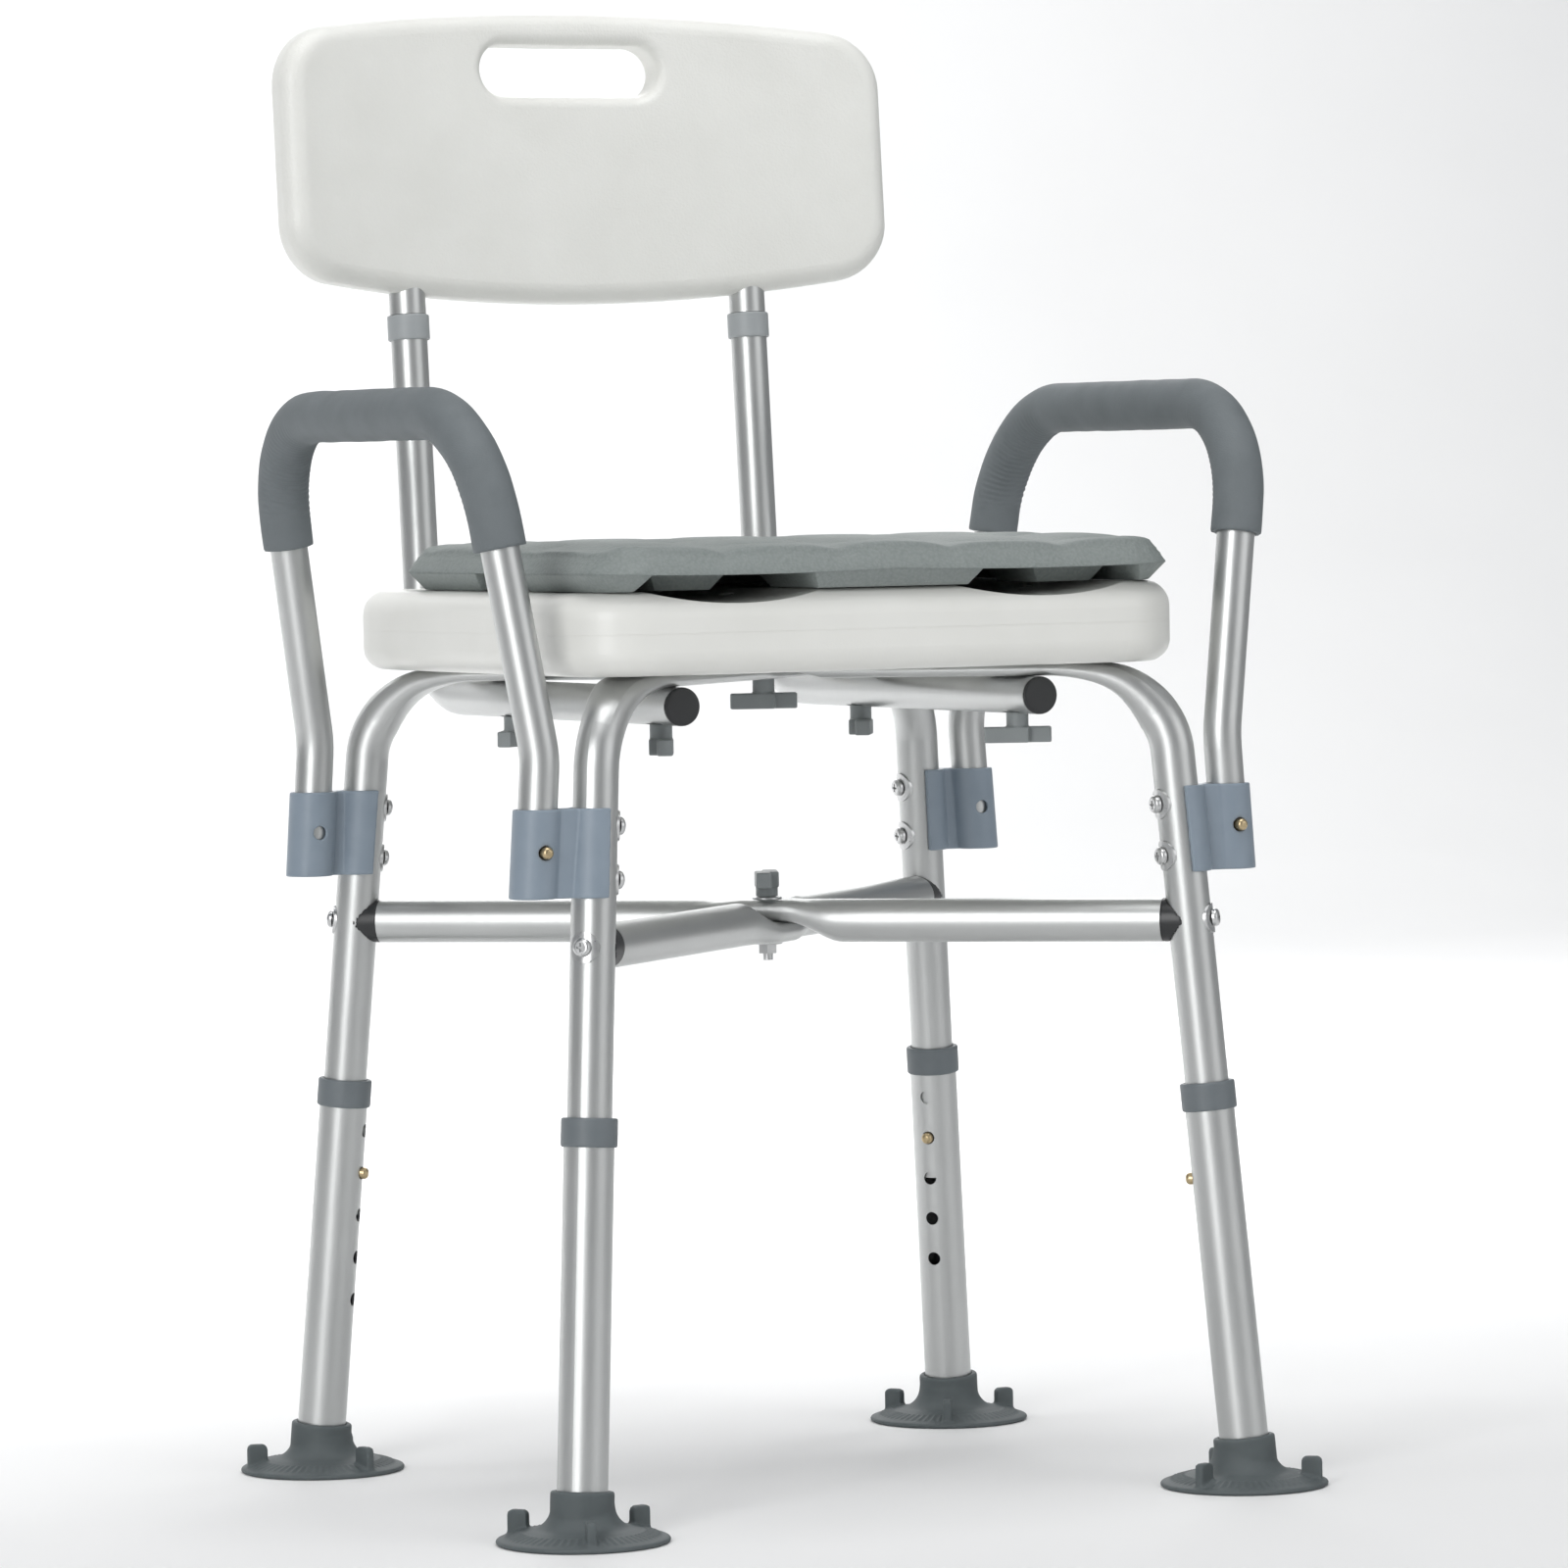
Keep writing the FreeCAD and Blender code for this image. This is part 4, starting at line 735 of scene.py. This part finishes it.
def rounded_sheet(half_width, half_depth, corner_radius, height):
    """One flat face with round corners, centred on the cushion."""
    form = bmesh.new()
    bmesh.ops.create_grid(form, x_segments=1, y_segments=1, size=1.0)
    bmesh.ops.scale(form, verts=form.verts, vec=(half_width, half_depth, 1))
    bmesh.ops.bevel(
        form,
        geom=form.verts[:],
        offset=corner_radius,
        segments=CORNER_STEPS,
        profile=0.5,
        affect="VERTICES",
        material=-1,
        clamp_overlap=True,
    )
    bmesh.ops.translate(form, verts=form.verts, vec=(CUSHION_MIDDLE.x, CUSHION_MIDDLE.y, height))
    return form


def extrude_sheet(form, rise):
    """Make the sheet a closed slab, rise thick. Gives the moved faces."""
    made = bmesh.ops.extrude_face_region(form, geom=form.faces[:], use_keep_orig=True)["geom"]
    bmesh.ops.translate(form, verts=of_kind(made, bmesh.types.BMVert), vec=(0, 0, rise))
    return of_kind(made, bmesh.types.BMFace)


def raise_inset(form, tops, inset, rise):
    """Inset the top faces and lift them, which leaves a sloping band."""
    bmesh.ops.inset_region(form, faces=tops, thickness=inset, use_even_offset=True)
    inner = {vertex for face in tops for vertex in face.verts}
    bmesh.ops.translate(form, verts=list(inner), vec=(0, 0, rise))


def slab_form():
    """Closed slab: flat underside, sharp rim, sloping shoulder and low crown."""
    form = rounded_sheet(HALF_WIDTH, HALF_DEPTH, CORNER_RADIUS, CUSHION_LOW.z + RIM_LIFT)
    tops = extrude_sheet(form, RIM_EDGE)
    raise_inset(form, tops, SHOULDER_INSET, SHOULDER_RISE)
    raise_inset(form, tops, CROWN_INSET, CROWN_RISE)
    bmesh.ops.recalc_face_normals(form, faces=form.faces)
    return form


def cut_net(form, axis, low, high):
    """Cut the form by planes at even steps along an axis."""
    normal = Vector((axis == 0, axis == 1, axis == 2))
    steps = int((high - low) / NET_PITCH)
    for step in range(1, steps):
        bmesh.ops.bisect_plane(
            form,
            geom=form.verts[:] + form.edges[:] + form.faces[:],
            dist=WELD,
            plane_co=normal * (low + (high - low) * step / steps),
            plane_no=normal,
        )


cushion_net = slab_form()
net_low = CUSHION_LOW + Vector((0, 0, RIM_LIFT))
for axis in range(3):
    cut_net(cushion_net, axis, net_low[axis], CUSHION_HIGH[axis])
bmesh.ops.triangulate(cushion_net, faces=[face for face in cushion_net.faces if len(face.verts) > 4])
print("cushion net", len(cushion_net.verts), "points")

# %% Raise the pillows
WANDER_X = 7 * MM
WANDER_X_LENGTH = 45 * MM
WANDER_Y = 6 * MM
WANDER_Y_LENGTH = 52 * MM
RIM_SAG = 1.6 * MM


def pillow(place):
    """Height of the pillow field, from 0 in a valley to 1 on top, with slightly wandering rows."""
    away = place - CUSHION_MIDDLE
    across = away.x + WANDER_X * math.sin(away.y / WANDER_X_LENGTH)
    along = away.y + WANDER_Y * math.sin(away.x / WANDER_Y_LENGTH)
    wave_x = abs(math.cos(math.pi * across / PILLOW_X))
    wave_y = abs(math.cos(math.pi * along / PILLOW_Y))
    return (1 - (1 - wave_x) ** 2) * (1 - (1 - wave_y) ** 2)


def rim_sag(place):
    """The rim follows the seat's two thigh troughs a little."""
    across = (abs(place.x - CUSHION_MIDDLE.x) - HALF_WIDTH / 2) / (HALF_WIDTH / 2)
    frontal = smooth_step((CUSHION_MIDDLE.y - place.y) / HALF_DEPTH)
    return -RIM_SAG * frontal * max(0.0, 1 - across * across)


soft_points = [v for v in cushion_net.verts if v.co.z > net_low.z + SHOULDER_RISE / 3]
for _ in range(SHOULDER_PASSES):
    bmesh.ops.smooth_vert(
        cushion_net, verts=soft_points, factor=0.5, use_axis_x=False, use_axis_y=False, use_axis_z=True
    )
for vertex in cushion_net.verts:
    rise = (vertex.co.z - net_low.z) / SHOULDER_RISE
    lift = (pillow(vertex.co) - PILLOW_LEVEL) * PILLOW_HEIGHT * smooth_step(rise)
    vertex.co.z += lift + rim_sag(vertex.co)
print("highest point", round(max(vertex.co.z for vertex in cushion_net.verts), 4))

# %% [markdown]
# ## Blocks under the cushion
# The cushion stands on blocks with sloping ends: one at each corner, one in the middle of the front and
# of the rear edge and, set back between them, inner blocks. All are cut from the same tapered plug, which
# has the outline of the rim, so that their outer faces run on from it. Slanted planes cut the ends, as
# the draft of a mould would.

# %% Cut the blocks
BLOCK_DRAFT = 8.0 * MM
BLOCK_ROUND = 0.7 * MM
SHARP_ANGLE = math.radians(25)
END_SLANT = 0.7
CORNER_BLOCK = 32 * MM
SIDE_BLOCK_START = 26 * MM
CENTRE_BLOCK_HALF = 55 * MM
CENTRE_BLOCK_START = 70 * MM
INNER_BLOCK = (98 * MM, 147 * MM)
INNER_BLOCK_START = 60 * MM
INNER_SETBACK = 24 * MM


def plug_form():
    """Tapered plug that hangs from the rim down to the seat."""
    form = rounded_sheet(HALF_WIDTH, HALF_DEPTH, CORNER_RADIUS, CUSHION_LOW.z + RIM_LIFT)
    lower = list({vertex for face in extrude_sheet(form, -RIM_LIFT) for vertex in face.verts})
    shrink = (1 - BLOCK_DRAFT / HALF_WIDTH, 1 - BLOCK_DRAFT / HALF_DEPTH, 1)
    bmesh.ops.scale(form, verts=lower, vec=shrink, space=Matrix.Translation(-CUSHION_MIDDLE))
    return form


def trim(form, axis, distance, side, slant):
    """Cut away what lies beyond a slanted plane, on one side of it, and close the cut."""
    point = CUSHION_MIDDLE.copy()
    point[axis] += distance
    point.z = net_low.z
    normal = Vector((0, 0, -slant))
    normal[axis] = side
    cut = bmesh.ops.bisect_plane(
        form,
        geom=form.verts[:] + form.edges[:] + form.faces[:],
        dist=WELD,
        plane_co=point,
        plane_no=normal.normalized(),
        clear_outer=True,
    )
    bmesh.ops.edgenet_fill(form, edges=of_kind(cut["geom_cut"], bmesh.types.BMEdge))


def add_block(form, trims):
    """Cut one block from the plug, round its edges a little and add it to the cushion."""
    block = plug_form()
    for trim_values in trims:
        trim(block, *trim_values)
    bmesh.ops.remove_doubles(block, verts=block.verts, dist=WELD)
    bmesh.ops.recalc_face_normals(block, faces=block.faces)
    sharp = [edge for edge in block.edges if edge.calc_face_angle(0) > SHARP_ANGLE]
    bmesh.ops.bevel(
        block,
        geom=sharp,
        offset=BLOCK_ROUND,
        segments=2,
        profile=0.5,
        affect="EDGES",
        material=-1,
        clamp_overlap=True,
    )
    loose = bpy.data.meshes.new("block")
    block.to_mesh(loose)
    block.free()
    form.from_mesh(loose)
    bpy.data.meshes.remove(loose)


for end in (-1, 1):
    centre_trims = [(0, side * CENTRE_BLOCK_HALF, side, END_SLANT) for side in (-1, 1)]
    add_block(cushion_net, centre_trims + [(1, end * CENTRE_BLOCK_START, -end, END_SLANT)])
    for side in (-1, 1):
        corner_trims = [
            (0, side * (HALF_WIDTH - CORNER_BLOCK), -side, END_SLANT),
            (1, end * SIDE_BLOCK_START, -end, END_SLANT),
        ]
        add_block(cushion_net, corner_trims)
        inner_trims = [
            (0, side * INNER_BLOCK[0], -side, END_SLANT),
            (0, side * INNER_BLOCK[1], side, END_SLANT),
            (1, end * (HALF_DEPTH - INNER_SETBACK), end, END_SLANT),
            (1, end * INNER_BLOCK_START, -end, END_SLANT),
        ]
        add_block(cushion_net, inner_trims)

cushion = new_piece("foam_cushion", cushion_net, FOAMS["cushion_foam"])
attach(cushion, "cushion")
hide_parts("cushion")
print(cushion.name, len(cushion.data.polygons))
